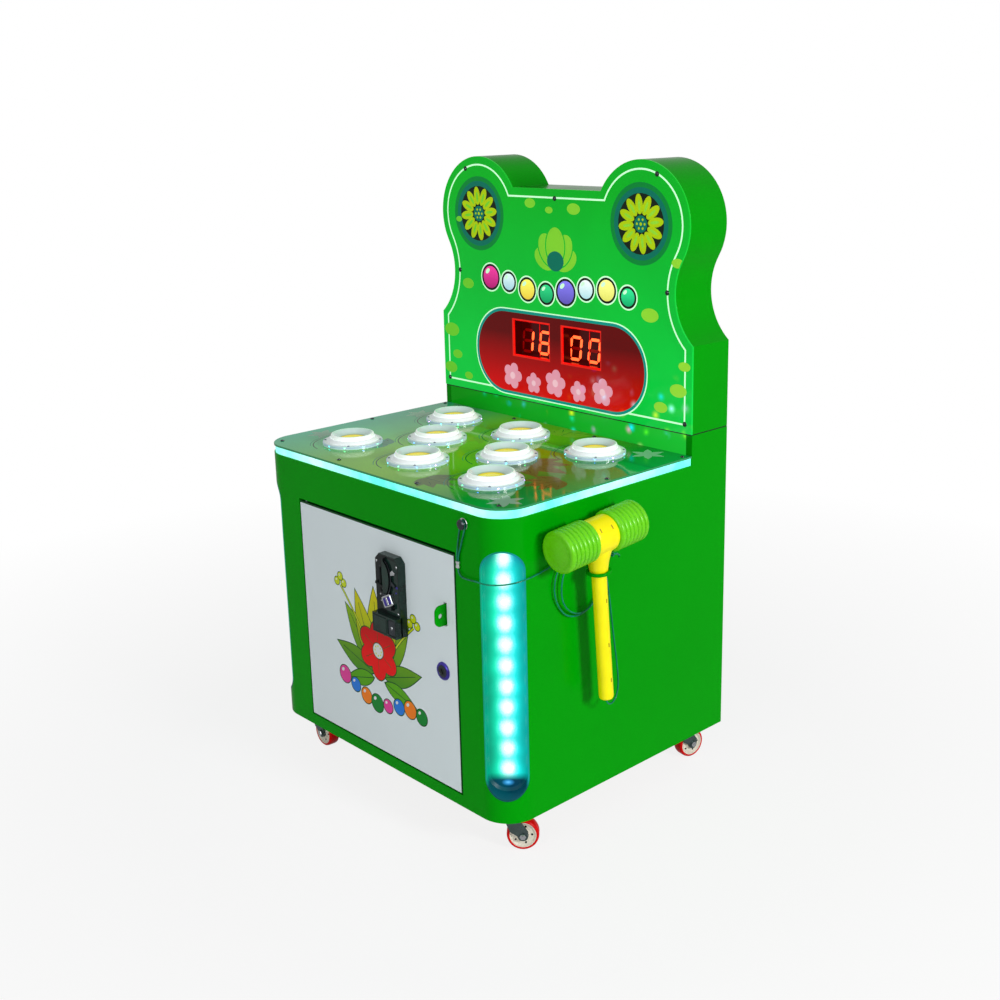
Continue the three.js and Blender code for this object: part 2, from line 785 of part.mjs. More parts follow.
function makeLockBody() {
  const at = [lockX, 0, lockZ];
  const barrel = rod('y', frontY - overrun, frontY + doorThickness, lockRadius, at, roundSegments);
  const flange = rod('y', frontY - lockFlangeThickness, frontY, lockFlangeRadius, at, roundSegments);
  const tail = rod('y', frontY, frontY + doorThickness + lockStubLength, lockStubRadius, at);
  return barrel.add(flange).add(tail);
}

function makeLockCam() {
  const half = camWidth / 2;
  const shape = new THREE.Shape();
  shape.absarc(lockX, lockZ, half, 0, Math.PI, false);
  shape.lineTo(lockX - half, lockZ - camLength);
  shape.lineTo(lockX + half, lockZ - camLength);
  return facing(shape, camFrontY, camBackY).subtract(rod('y', camFrontY - overrun, camBackY + overrun,
    lockStubRadius + seatGap, [lockX, 0, lockZ]));
}

// Staple for a padlock: a tab through the door on a foot behind the shell
function makeStaple() {
  const legFront = frontY + doorThickness + seatGap;
  const corner = stapleProud / 2;
  const tab = new THREE.Shape();
  tab.moveTo(legFront + stapleLegThickness, stapleBottom);
  tab.lineTo(legFront + stapleLegThickness, stapleTop);
  tab.absarc(frontY - stapleProud + corner, stapleTop - corner, corner, Math.PI / 2, Math.PI, false);
  tab.absarc(frontY - stapleProud + corner, stapleBottom + corner, corner, Math.PI, 1.5 * Math.PI, false);
  const middle = (stapleBottom + stapleTop) / 2;
  tab.holes.push(disc(frontY - stapleProud + corner, middle, stapleHoleRadius));
  const half = stapleThickness / 2;
  const leaf = sideways(tab, stapleX - half, stapleX + half);
  const leg = block([stapleX - half, stapleLegEnd], [legFront, legFront + stapleLegThickness],
    [stapleBottom, stapleTop]);
  const foot = block([doorRight + doorSideGap + seatGap, stapleLegEnd],
    [innerFrontY, legFront + stapleLegThickness], [stapleBottom, stapleTop]);
  return leaf.add(leg).add(foot);
}

// Tether's fixing screw on the front, its washer flat on the shell
function makeAnchor() {
  const shankEnd = anchorWasherThickness + anchorShankLength;
  return turned([
    [0, 0], [anchorWasherRadius, 0], [anchorWasherRadius, -anchorWasherThickness],
    [anchorShankRadius, -anchorWasherThickness], [anchorShankRadius, -shankEnd],
    [anchorHeadRadius, -shankEnd],
    [anchorHeadRadius * Math.SQRT1_2, -shankEnd - anchorHeadHeight * Math.SQRT1_2],
    [0, -shankEnd - anchorHeadHeight]], 'y', [anchorX, frontY, anchorZ]);
}

const cordY = frontY - anchorWasherThickness - anchorShankLength / 2;
const ferruleTop = ferruleZ + ferruleHeight / 2;
const ferruleBottom = ferruleZ - ferruleHeight / 2;

// Cord eye: up from the ferrule, round the screw's shank and down again
function makeTetherEye() {
  const reach = anchorShankRadius + strandGap + cordDiameter / 2;
  const half = (cordDiameter + strandGap) / 2;
  const [low, high] = [ferruleTop + seatGap, anchorZ];
  const rise = high - low;
  const lean = anchorX - ferruleX;
  const [foot, bend, top] = [low + rise * eyeFootShare, low + rise * eyeBendShare, high - rise * eyeTopShare];
  const points = [
    [ferruleX - half, cordY, low], [ferruleX - half, cordY, foot],
    [ferruleX + lean * eyeLeanShares[0] - half * eyeSpreadShares[0], cordY, bend],
    [anchorX - reach, cordY, top]];
  for (let i = 1; i < eyeArcSteps; i += 1) {
    const angle = Math.PI - (i / eyeArcSteps) * Math.PI;
    points.push([anchorX + Math.cos(angle) * reach, cordY, high + Math.sin(angle) * reach]);
  }
  points.push([anchorX + reach, cordY, top],
    [ferruleX + lean * eyeLeanShares[1] + half * eyeSpreadShares[1], cordY, bend],
    [ferruleX + half, cordY, foot], [ferruleX + half, cordY, low]);
  return tube(points, cordDiameter, eyeSteps);
}

function makeFerrule() {
  const half = ferruleThickness / 2;
  return block(grown([ferruleX, ferruleX], ferruleWidth / 2), [cordY - half, frontY - seatGap],
    [ferruleBottom, ferruleTop]);
}

// Cord from the ferrule round the corner, its points measured from the front right corner and the ferrule
const tetherLead = [
  [-89.2, -2.9, -9.5], [-86.6, -3.3, -13.2], [-82.2, -3.9, -15.8], [-75.5, -4.4, -16.7],
  [-64.5, -4.6, -16.5], [-51, -4.5, -15.4], [-29, -1.5, -15.6], [-11.5, 11.5, -15], [-1, 28, -13.4],
  [3, 50, -11.4]];

// Then twice round the hanger's arm and down to the handle's end, measured from the side and the mallet
const tetherHank = [
  [3.4, -73, -41], [3.8, -45, -34], [4, -21, -27.5], [4, 1, -27], [4, 21, -36.5], [4, 35, -58],
  [4, 39, -82], [4, 33, -106], [4, 16, -124], [4, -8, -129.4], [4, -32, -122], [4.4, -49, -102],
  [5, -56.5, -78], [5.6, -53, -55], [6.6, -37, -34], [7.4, -16, -26.5], [7.8, 5, -27.5], [8, 23, -38],
  [8, 37, -60], [8, 40, -83], [8, 33, -105], [8, 16, -120], [8, -6, -125], [8, -28, -116],
  [8, -42, -98], [8, -45, -75], [8.6, -39, -51], [9.6, -26, -33], [11, -9, -24.5], [12.6, 9, -25.5],
  [15, 25, -36.5], [17.6, 34, -56], [19.4, 39, -81], [21, 42.5, -110], [22.5, 46, -146],
  [24.5, 49, -181], [27, 51.5, -213], [29.5, 52, -239], [31.5, 49.5, -257], [33.4, 42, -269.5],
  [34.8, 31.5, -274.5], [35.7, 23.3, -271.6], [36, 19.9, -266]];

function tetherRoute() {
  const drop = new THREE.Vector3(0, 0, -handleLength - seatGap);
  drop.applyAxisAngle(new THREE.Vector3(1, 0, 0), malletLean);
  return [
    [ferruleX, cordY, ferruleBottom - seatGap],
    ...tetherLead.map(([x, y, z]) => [halfWidth + x, frontY + y, ferruleZ + z]),
    ...tetherHank.map(([x, y, z]) => [halfWidth + x, malletY + y, malletZ + z]),
    [malletX, malletY + drop.y, malletZ + drop.z]];
}

// Least gap between stretches of the cord that pass each other
function leastGap(points, diameter) {
  const spots = routeThrough(points).getSpacedPoints(gapSamples);
  let least = Infinity;
  for (let i = 0; i < spots.length; i += 1) {
    for (let j = i + gapSkip; j < spots.length; j += 1) {
      least = Math.min(least, spots[i].distanceTo(spots[j]));
    }
  }
  return least - diameter;
}
console.log(`least gap of the tether to itself: ${leastGap(tetherRoute(), cordDiameter).toFixed(2)} mm`);

// Mallet, drawn about the middle of its head, upright and then leaned as it hangs
const mallet = new THREE.Group();
mallet.position.set(malletX, malletY, malletZ);
mallet.rotation.x = malletLean;

function makeMalletHandle() {
  const half = teeLength / 2;
  const tee = turned([
    [0, -half], [teeRadius - teeEdge, -half], [teeRadius, teeEdge - half],
    [teeRadius, half - teeEdge], [teeRadius - teeEdge, half], [0, half]], 'y');
  const handle = turned([
    [0, 0], [neckRadius, 0], [neckRadius, -neckTop], [neckEndRadius, -neckBottom],
    [handleRadius, -neckBottom - neckFade], [handleRadius, handleEndRound - handleLength],
    [handleRadius - handleEndRound, -handleLength], [0, -handleLength]]);
  return tee.add(handle);
}

// Bellows of a mallet head: ribs between the tee and a rounded striking face
function makeMalletHead() {
  const start = teeLength / 2 + seatGap;
  const end = start + headLength - seatGap;
  const profile = [[0, start], [headRadius - headRibDepth, start]];
  for (let i = 0; i < headRibs; i += 1) {
    const foot = start + i * headPitch;
    profile.push(...headRibShares.map((share) => [headRadius, foot + headPitch * share]),
      [headRadius - headRibDepth, foot + headPitch]);
  }
  profile.push([headRadius, end - headFaceRound], [headRadius - headFaceRound, end], [0, end]);
  return turned(profile, 'y');
}

// Hanger: a ring round the handle under the flare, on an arm from a plate on the cabinet's side
function makeHolder() {
  const middle = new THREE.Vector3(0, 0, -ringDrop);
  const ring = toSolid(new THREE.TorusGeometry(ringRadius, ringRodRadius, smallSegments, roundSegments)
    .applyMatrix4(new THREE.Matrix4().makeTranslation(middle))
    .applyMatrix4(new THREE.Matrix4().makeRotationX(malletLean))
    .translate(malletX, malletY, malletZ));
  middle.applyAxisAngle(new THREE.Vector3(1, 0, 0), malletLean);
  const [ringY, ringZ] = [malletY + middle.y, malletZ + middle.z];
  const plateX = halfWidth + ringPlateThickness;
  const ringBack = malletX - ringRadius;
  const armZ = ringPlateZ - ringRodRadius;
  const arm = tube([
    [halfWidth + seatGap, ringY, armZ], [plateX + ringRodRadius, ringY, armZ],
    [(plateX + ringBack) / 2, ringY, ringZ + ringRodRadius * 2], [ringBack - ringRodRadius / 2, ringY, ringZ],
    [ringBack, ringY, ringZ]], ringRodRadius * 2, armSteps);
  const plate = block([halfWidth, plateX], grown([ringY, ringY], ringPlateWidth / 2),
    grown([ringPlateZ, ringPlateZ], ringPlateHeight / 2));
  return ring.add(arm).add(plate);
}

// Caster: fixed plate with the raceway, a swivelling fork with its axle, and the wheel
const racewayBottom = undersideHeight - casterPlateThickness - racewayHeight;
const forkTop = racewayBottom - seatGap;

function makeCasterPlate() {
  const plate = block(grown([0, 0], casterPlateLength / 2), grown([0, 0], casterPlateWidth / 2),
    [undersideHeight - casterPlateThickness, undersideHeight]);
  const race = turned([[0, undersideHeight], [racewayRadius, undersideHeight],
    [racewayRadius, racewayBottom], [0, racewayBottom]]);
  const pocket = rod('z', racewayBottom - overrun, undersideHeight - casterPlateThickness,
    kingpinRadius + seatGap, [0, 0, 0], roundSegments);
  return plate.add(race).subtract(pocket);
}

function makeFork() {
  const inner = wheelWidth / 2 + forkGap;
  const outer = inner + forkThickness;
  const topPlate = forkTop - forkTopThickness;
  const crown = rod('z', topPlate, forkTop, racewayRadius - forkThickness, [0, 0, 0], roundSegments);
  const pin = rod('z', topPlate, undersideHeight - casterPlateThickness - seatGap, kingpinRadius);
  const leg = new THREE.Shape();
  leg.moveTo(-racewayRadius / 2, forkTop);
  leg.lineTo(0, wheelRadius + forkBootRadius);
  leg.absarc(trail, wheelRadius, forkBootRadius, Math.PI, 2 * Math.PI, false);
  leg.lineTo(trail + forkBootRadius, wheelRadius + forkBootRadius);
  leg.lineTo(racewayRadius / 2, forkTop);
  const at = [trail, 0, wheelRadius];
  const axle = rod('y', -outer - boltHeadHeight, outer + boltHeadHeight, axleRadius, at);
  const head = rod('y', outer, outer + boltHeadHeight, boltHeadRadius, at);
  const nut = rod('y', -outer - boltHeadHeight, -outer, boltHeadRadius, at);
  const bolt = axle.add(head).add(nut);
  const bridge = block([-racewayRadius / 2, racewayRadius / 2], [-outer, outer], [topPlate, forkTop]);
  return crown.add(bridge).add(pin).add(bolt)
    .add(facing(leg, inner, outer)).add(facing(leg, -outer, -inner));
}

// The wheel's tread is as wide across its flats as the real one is round, and it stands on a flat
function makeWheel() {
  const half = wheelWidth / 2;
  const tread = wheelRadius / Math.cos(Math.PI / roundSegments);
  const rim = wheelRadius - treadDepth;
  const bore = axleRadius + seatGap;
  return turned([
    [bore, -half], [hubRadius, -half], [hubRadius, hubRecess - half], [rim - treadRound, hubRecess - half],
    [rim, -half], [tread - treadRound, -half], [tread, treadRound - half],
    [tread, half - treadRound], [tread - treadRound, half], [rim, half],
    [rim - treadRound, half - hubRecess], [hubRadius, half - hubRecess], [hubRadius, half], [bore, half],
    [bore, -half]], 'y');
}

function addCaster(name, x, y) {
  const caster = new THREE.Group();
  caster.position.set(x, y, 0);
  machine.add(caster);
  add(`caster_${name}_plate`, makeCasterPlate(), zincSteel, caster);
  const swivel = new THREE.Group();
  swivel.rotation.z = THREE.MathUtils.degToRad(casterTurns[name]);
  caster.add(swivel);
  add(`caster_${name}_fork`, makeFork(), zincSteel, swivel);
  const wheel = add(`caster_${name}_wheel`, makeWheel(), redTread, swivel);
  wheel.position.set(trail, 0, wheelRadius);
  wheel.rotation.y = Math.PI / roundSegments;
}

// Fittings inside the cabinet and on its back
const floorTop = undersideHeight + boardThickness;

function makeCoinBox() {
  const [left, right] = grown([coinBoxX, coinBoxX], coinBoxWidth / 2);
  const front = frontY + doorThickness + coinBoxSetback;
  const [back, top] = [front + coinBoxDepth, floorTop + coinBoxHeight];
  const outer = block([left, right], [front, back], [floorTop, top]);
  return outer.subtract(block([left + coinBoxWall, right - coinBoxWall],
    [front + coinBoxWall, back - coinBoxWall], [floorTop + coinBoxWall, top + overrun]));
}

function makeControlBox() {
  return block(grown([controlBoxX, controlBoxX], controlBoxWidth / 2),
    grown([controlBoxY, controlBoxY], controlBoxDepth / 2), [floorTop, floorTop + controlBoxHeight]);
}

function makeSpeaker() {
  const cone = speakerDepth / 2;
  const profile = [[0, 0], [speakerRadius, 0], [speakerRadius, -speakerFlangeThickness],
    [speakerMagnetRadius, -cone], [speakerMagnetRadius, -speakerDepth], [0, -speakerDepth]];
  return turned(profile, 'y', [0, innerBackY, speakerZ]);
}

function makePowerInlet() {
  const bezel = block(grown([inletX, inletX], inletWidth / 2 + inletBezel), [backY, backY + inletProud],
    grown([inletZ, inletZ], inletHeight / 2 + inletBezel));
  const body = block(grown([inletX, inletX], inletWidth / 2 - seatGap),
    [backY - inletDepth, backY + inletProud], grown([inletZ, inletZ], inletHeight / 2 - seatGap));
  const socketZ = inletZ - inletHeight / 4;
  const socket = block(grown([inletX, inletX], inletSocketWidth / 2),
    [backY + inletProud - inletSocketDepth, backY + inletProud + overrun],
    grown([socketZ, socketZ], inletSocketHeight / 2));
  return bezel.add(body).subtract(socket);
}

// Put the machine together
add('front_shell', makeFrontShell(), greenPaint);
add('left_side_panel', makeSidePanel(-1), greenPaint);
add('right_side_panel', makeSidePanel(1), greenPaint);
add('bottom_board', makeBottomBoard(), plywood);
add('back_panel', makeBackPanel(), greenPaint);
add('riser_board', makeRiserBoard(), greenPaint);
add('playfield_board', makePlayfieldBoard(), printedBoard);
add('glow_strip', makeGlowStrip(), glowPlastic);
add('playfield_cover', makePlayfieldCover(), clearAcrylic);
add('mole_switch_board', makeSwitchBoard(), circuitGreen);
const mole = makeMole();
moleSpots.forEach(([x, y], index) => {
  add(`mole_${index + 1}`, mole, domeWhite).position.set(x, y, coverTop);
});
add('sign_rim', makeSignRim(), greenPaint);
add('sign_back', makeSignBack(), greenPaint);
add('sign_front', makeSignFront(), signPrint);
add('display_left', makeDisplay(displaySpans[0]), displayRed);
add('display_right', makeDisplay(displaySpans[1]), displayRed);
add('light_tray_left', makeLightTray(-1), trayBlue);
add('light_tray_right', makeLightTray(1), trayBlue);
add('led_strip_left', makeLedStrip(-1), ledWhite);
add('led_strip_right', makeLedStrip(1), ledWhite);
add('door_panel', makeDoor(), doorWhite);
add('door_hinge_rod', makeHingeRod(), zincSteel);
add('coin_acceptor', makeAcceptor(), blackPlastic);
add('coin_reject_button', makeRejectButton(), chrome);
add('coin_return_flap', makeReturnFlap(), clearAcrylic);
add('lock_body', makeLockBody(), chrome);
add('lock_cam', makeLockCam(), zincSteel);
add('padlock_staple', makeStaple(), greenPaint);
add('coin_box', makeCoinBox(), zincSteel);
add('control_box', makeControlBox(), zincSteel);
add('speaker', makeSpeaker(), blackPlastic);
add('power_inlet', makePowerInlet(), blackPlastic);
add('tether_anchor', makeAnchor(), chrome);
add('tether_ferrule', makeFerrule(), zincSteel);
add('mallet_holder', makeHolder(), greenPaint);
machine.add(mallet);
add('mallet_handle', makeMalletHandle(), malletYellow, mallet);
add('mallet_head_rear', makeMalletHead(), bellowsGreen, mallet);
add('mallet_head_front', makeMalletHead(), bellowsGreen, mallet).rotation.z = Math.PI;
addCaster('front_left', -casterX, -casterY);
addCaster('front_right', casterX, -casterY);
addCaster('rear_left', -casterX, casterY);
addCaster('rear_right', casterX, casterY);

// Move the origin to the middle of the footprint, which the cord has no part in
machine.updateMatrixWorld(true);
const footprint = new THREE.Box3().setFromObject(machine, true);
add('tether_eye', makeTetherEye(), cordGreen);
add('tether_cord', tube(tetherRoute(), cordDiameter, cordSteps), cordGreen);
machine.position.set(-(footprint.min.x + footprint.max.x) / 2, -(footprint.min.y + footprint.max.y) / 2, 0);

export default machine;
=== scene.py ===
# Looks of the mole pounding arcade machine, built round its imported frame.
# Shapes are drawn in millimetres in the cabinet's own frame: floor at 0, X right, front at -Y.
import json
from functools import reduce
from math import asin, atan2, cos, degrees, hypot, pi, radians, sin, sqrt

import bmesh
import bpy
from mathutils import Matrix, Vector
from mathutils.geometry import delaunay_2d_cdt

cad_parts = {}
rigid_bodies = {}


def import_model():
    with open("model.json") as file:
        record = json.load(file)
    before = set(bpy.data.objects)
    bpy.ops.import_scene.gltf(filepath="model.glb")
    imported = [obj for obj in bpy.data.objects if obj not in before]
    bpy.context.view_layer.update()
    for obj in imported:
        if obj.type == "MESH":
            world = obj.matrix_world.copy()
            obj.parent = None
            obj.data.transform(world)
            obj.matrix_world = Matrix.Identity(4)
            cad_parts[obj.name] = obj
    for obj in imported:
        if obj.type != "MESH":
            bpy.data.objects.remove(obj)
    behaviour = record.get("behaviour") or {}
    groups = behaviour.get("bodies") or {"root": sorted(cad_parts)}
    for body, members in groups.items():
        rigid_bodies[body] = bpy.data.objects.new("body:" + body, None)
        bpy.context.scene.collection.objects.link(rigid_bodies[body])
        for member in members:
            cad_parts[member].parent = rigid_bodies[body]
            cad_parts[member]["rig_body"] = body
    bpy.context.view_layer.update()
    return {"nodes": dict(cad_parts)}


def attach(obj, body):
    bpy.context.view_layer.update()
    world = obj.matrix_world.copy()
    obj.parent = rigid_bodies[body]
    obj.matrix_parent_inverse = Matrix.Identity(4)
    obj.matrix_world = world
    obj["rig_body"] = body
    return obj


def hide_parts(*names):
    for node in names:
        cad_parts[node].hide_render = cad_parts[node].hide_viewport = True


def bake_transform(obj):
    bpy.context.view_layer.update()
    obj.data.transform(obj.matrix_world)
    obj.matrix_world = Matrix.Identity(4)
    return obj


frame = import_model()
MM = 0.001
scene = bpy.context.scene

# Sizes shared with the solids
HALF_WIDTH, FRONT, BACK = 300.0, -250.0, 250.0
UNDERSIDE, SIDE_TOP, SEAM = 68.0, 542.5, 592.8
BOARD, CORNER_RADIUS = 12.0, 51.5
SHELL_BACK, RISER = -190.0, 161.7
COVER_BOTTOM, COVER_TOP = 555.0, 558.0
SIGN_FRONT, SIGN_RIM = 159.9, 162.9
SHOULDER, SIGN_TOP = 733.1, 965.2
LOBE_X, LOBE_Z, LOBE_RADIUS, WAIST_RADIUS = 192.0, 916.7, 99.7, 103.1
WINDOWS = ((-108.45, -17.95), (12.75, 103.25))
WINDOW_Z = (671.95, 735.45)
DIGIT_Y = 182.9
DOOR = (-195.3, 199.3, 89.5, 473.8)
MOLE_ROWS = ((-152, (-174, 0, 174)), (-40, (-87, 87)), (72, (-174, 0, 174)))
MOLES = [(x, y) for y, row in MOLE_ROWS for x in row]
LED_TOP, LED_PITCH, LED_COUNT = 474.0, 33.1, 11
SLOT = (104.0, 495.0, 66.0)
TRAY_FLOOR = 19.5
PIVOT = (250.0, 200.0)
HANG = (336, -95, 496)
HINGE = (-183.3, -244)
LOCK = (165, 281)
ACCEPTOR = (24, 82, 313, 440)
CASTER_TURNS = {"front_right": 45, "rear_right": 80, "front_left": -3, "rear_left": -50}


def axes(x, y, z, at=(0, 0, 0)):
    """A frame from the directions of its axes and its place."""
    made = Matrix((x, y, z)).transposed().to_4x4()
    made.translation = at
    return made


def shift(x, y, z=0):
    return Matrix.Translation((x, y, z))


def rotate(angle, axis="Z"):
    return Matrix.Rotation(radians(angle), 4, axis)


# Frames for drawing in a plane: its X and Y lie in the face, and Z points out of it
FACING_UP = Matrix.Identity(4)
FACING_DOWN = axes((1, 0, 0), (0, -1, 0), (0, 0, -1))
FACING_FRONT = axes((1, 0, 0), (0, 0, 1), (0, -1, 0))
FACING_BACK = axes((-1, 0, 0), (0, 0, 1), (0, 1, 0))
FACING_RIGHT = axes((0, 1, 0), (0, 0, 1), (1, 0, 0))
LATHE_ALONG_Y = axes((1, 0, 0), (0, 0, -1), (0, 1, 0))

# Places of the cabinet and of the hanging mallet in the shared frame, in metres
CABINET = shift(-0.034, 0.011)
LEAN = rotate(4.2, "X")
MALLET = CABINET @ shift(*(Vector(HANG) * MM)) @ LEAN


def corner_place(side):
    """A front corner's own place, in millimetres: X across it, Y up, Z outwards."""
    half = sqrt(0.5)
    return axes((half, side * half, 0), (0, 0, 1), (side * half, -half, 0),
                (side * (HALF_WIDTH - CORNER_RADIUS), FRONT + CORNER_RADIUS, 0))


def add_object(name, data, at=FACING_UP):
    made = bpy.data.objects.new(name, data)
    scene.collection.objects.link(made)
    made.matrix_world = at
    return made


# Camera, as the photograph was taken
def place_camera():
    heading, lift, roll = (radians(a) for a in (47.083, 14.661, -1.171))
    right = Vector((cos(heading), sin(heading), 0))
    ahead = Vector((-sin(heading) * cos(lift), cos(heading) * cos(lift), -sin(lift)))
    up = right.cross(ahead)
    data = bpy.data.cameras.new("camera")
    data.sensor_width, data.lens = 36, 46.909
    data.shift_x, data.shift_y = -0.01918, -0.0506
    across, upright = right * cos(roll) + up * sin(roll), up * cos(roll) - right * sin(roll)
    place = axes(across, upright, -ahead, (1.5386, -1.3834, 1.0962))
    scene.camera = add_object("camera", data, place)


place_camera()


# Outlines in a plane, as lists of points
def arc(x, y, radius, start, end, steps, radius_y=None):
    radius_y = radius if radius_y is None else radius_y
    angles = [radians(start + (end - start) * i / steps) for i in range(steps + 1)]
    return [(x + radius * cos(a), y + radius_y * sin(a)) for a in angles]


def circle(x, y, radius, steps=40, radius_y=None):
    return arc(x, y, radius, 0, 360, steps, radius_y)[:-1]


def rectangle(x0, x1, y0, y1, radius=0.0, steps=5):
    if not radius:
        return [(x0, y0), (x1, y0), (x1, y1), (x0, y1)]
    spots = ((x1 - radius, y0 + radius, 270), (x1 - radius, y1 - radius, 0),
             (x0 + radius, y1 - radius, 90), (x0 + radius, y0 + radius, 180))
    return [p for x, y, a in spots for p in arc(x, y, radius, a, a + 90, steps)]


def turned_points(points, angle, at=(0, 0)):
    c, s = cos(radians(angle)), sin(radians(angle))
    return [(at[0] + x * c - y * s, at[1] + x * s + y * c) for x, y in points]


def leaf(x, y, length, width, angle, steps=10):
    """A pointed leaf from its stalk end."""
    shares = [i / steps for i in range(steps + 1)]
    upper = [(length * share, width / 2 * sin(pi * share ** 0.8)) for share in shares]
    lower = [(u, -v) for u, v in reversed(upper[1:-1])]
    return turned_points(upper + lower, angle, (x, y))


def petal(x, y, near, far, width, angle, steps=14):
    middle = (near + far) / 2
    points = circle(middle, 0, (far - near) / 2, steps, width / 2)
    return turned_points(points, angle, (x, y))


def band(points, width):
    """A line of even width along the points."""
    left, right = [], []
    for i, (x, y) in enumerate(points):
        ax, ay = points[max(i - 1, 0)]
        bx, by = points[min(i + 1, len(points) - 1)]
        size = hypot(bx - ax, by - ay) or 1
        nx, ny = (ay - by) / size * width / 2, (bx - ax) / size * width / 2
        left.append((x + nx, y + ny))
        right.append((x - nx, y - ny))
    return left + right[::-1]


def grown(points, by):
    """The outline moved outwards by a distance. It runs anticlockwise."""
    result = []
    count = len(points)
    for i, (x, y) in enumerate(points):
        (ax, ay), (bx, by_) = points[i - 1], points[(i + 1) % count]
        first, second = Vector((x - ax, y - ay)), Vector((bx - x, by_ - y))
        first.normalize()
        second.normalize()
        normal = Vector((first.y + second.y, -first.x - second.x))
        normal.normalize()
        stretch = max(normal.x * first.y - normal.y * first.x, 0.3)
        result.append((x + normal.x * by / stretch, y + normal.y * by / stretch))
    return result


def cabinet_plan(inset, back, steps=20):
    width, front, radius = HALF_WIDTH - inset, FRONT + inset, CORNER_RADIUS - inset
    left = arc(radius - width, front + radius, radius, 180, 270, steps)
    right = arc(width - radius, front + radius, radius, 270, 360, steps)
    return left + right + [(width, back), (-width, back)]


def mirrored(profile):
    """A turned solid's (radius, height) pairs below zero height, then the same above it."""
    return profile + [(radius, -height) for radius, height in reversed(profile)]


def stadium(inset, steps=20):
    low, high, width = SLOT
    radius = width / 2 - inset
    return (arc(0, low + width / 2, radius, 180, 360, steps)
            + arc(0, high - width / 2, radius, 0, 180, steps))


def sign_outline(inset, bottom, steps=36):
    """The sign's outline drawn in by the inset, anticlockwise."""
    reach = LOBE_RADIUS + WAIST_RADIUS
    dx, dz = HALF_WIDTH - LOBE_X, SHOULDER - LOBE_Z
    span = hypot(dx, dz)
    along = (reach ** 2 - WAIST_RADIUS ** 2 + span ** 2) / (2 * span)
    off = sqrt(reach ** 2 - along ** 2)
    waist_x = LOBE_X + along * dx / span - off * dz / span
    waist_z = LOBE_Z + along * dz / span + off * dx / span
    hollow, lobe = WAIST_RADIUS + inset, LOBE_RADIUS - inset
    width, top = HALF_WIDTH - inset, SIGN_TOP - inset
    shoulder = waist_z - sqrt(hollow ** 2 - (waist_x - width) ** 2)
    start = degrees(atan2(shoulder - waist_z, width - waist_x))
    to_lobe = degrees(atan2(LOBE_Z - waist_z, LOBE_X - waist_x))
    dip = 180 - degrees(asin((top - LOBE_Z) / lobe))
    right = ([(width, bottom)]
             + arc(waist_x, waist_z, hollow, start % 360, to_lobe % 360, steps // 2)
             + arc(LOBE_X, LOBE_Z, lobe, to_lobe - 180, dip, steps)[1:])
    return right + [(-x, z) for x, z in reversed(right)]


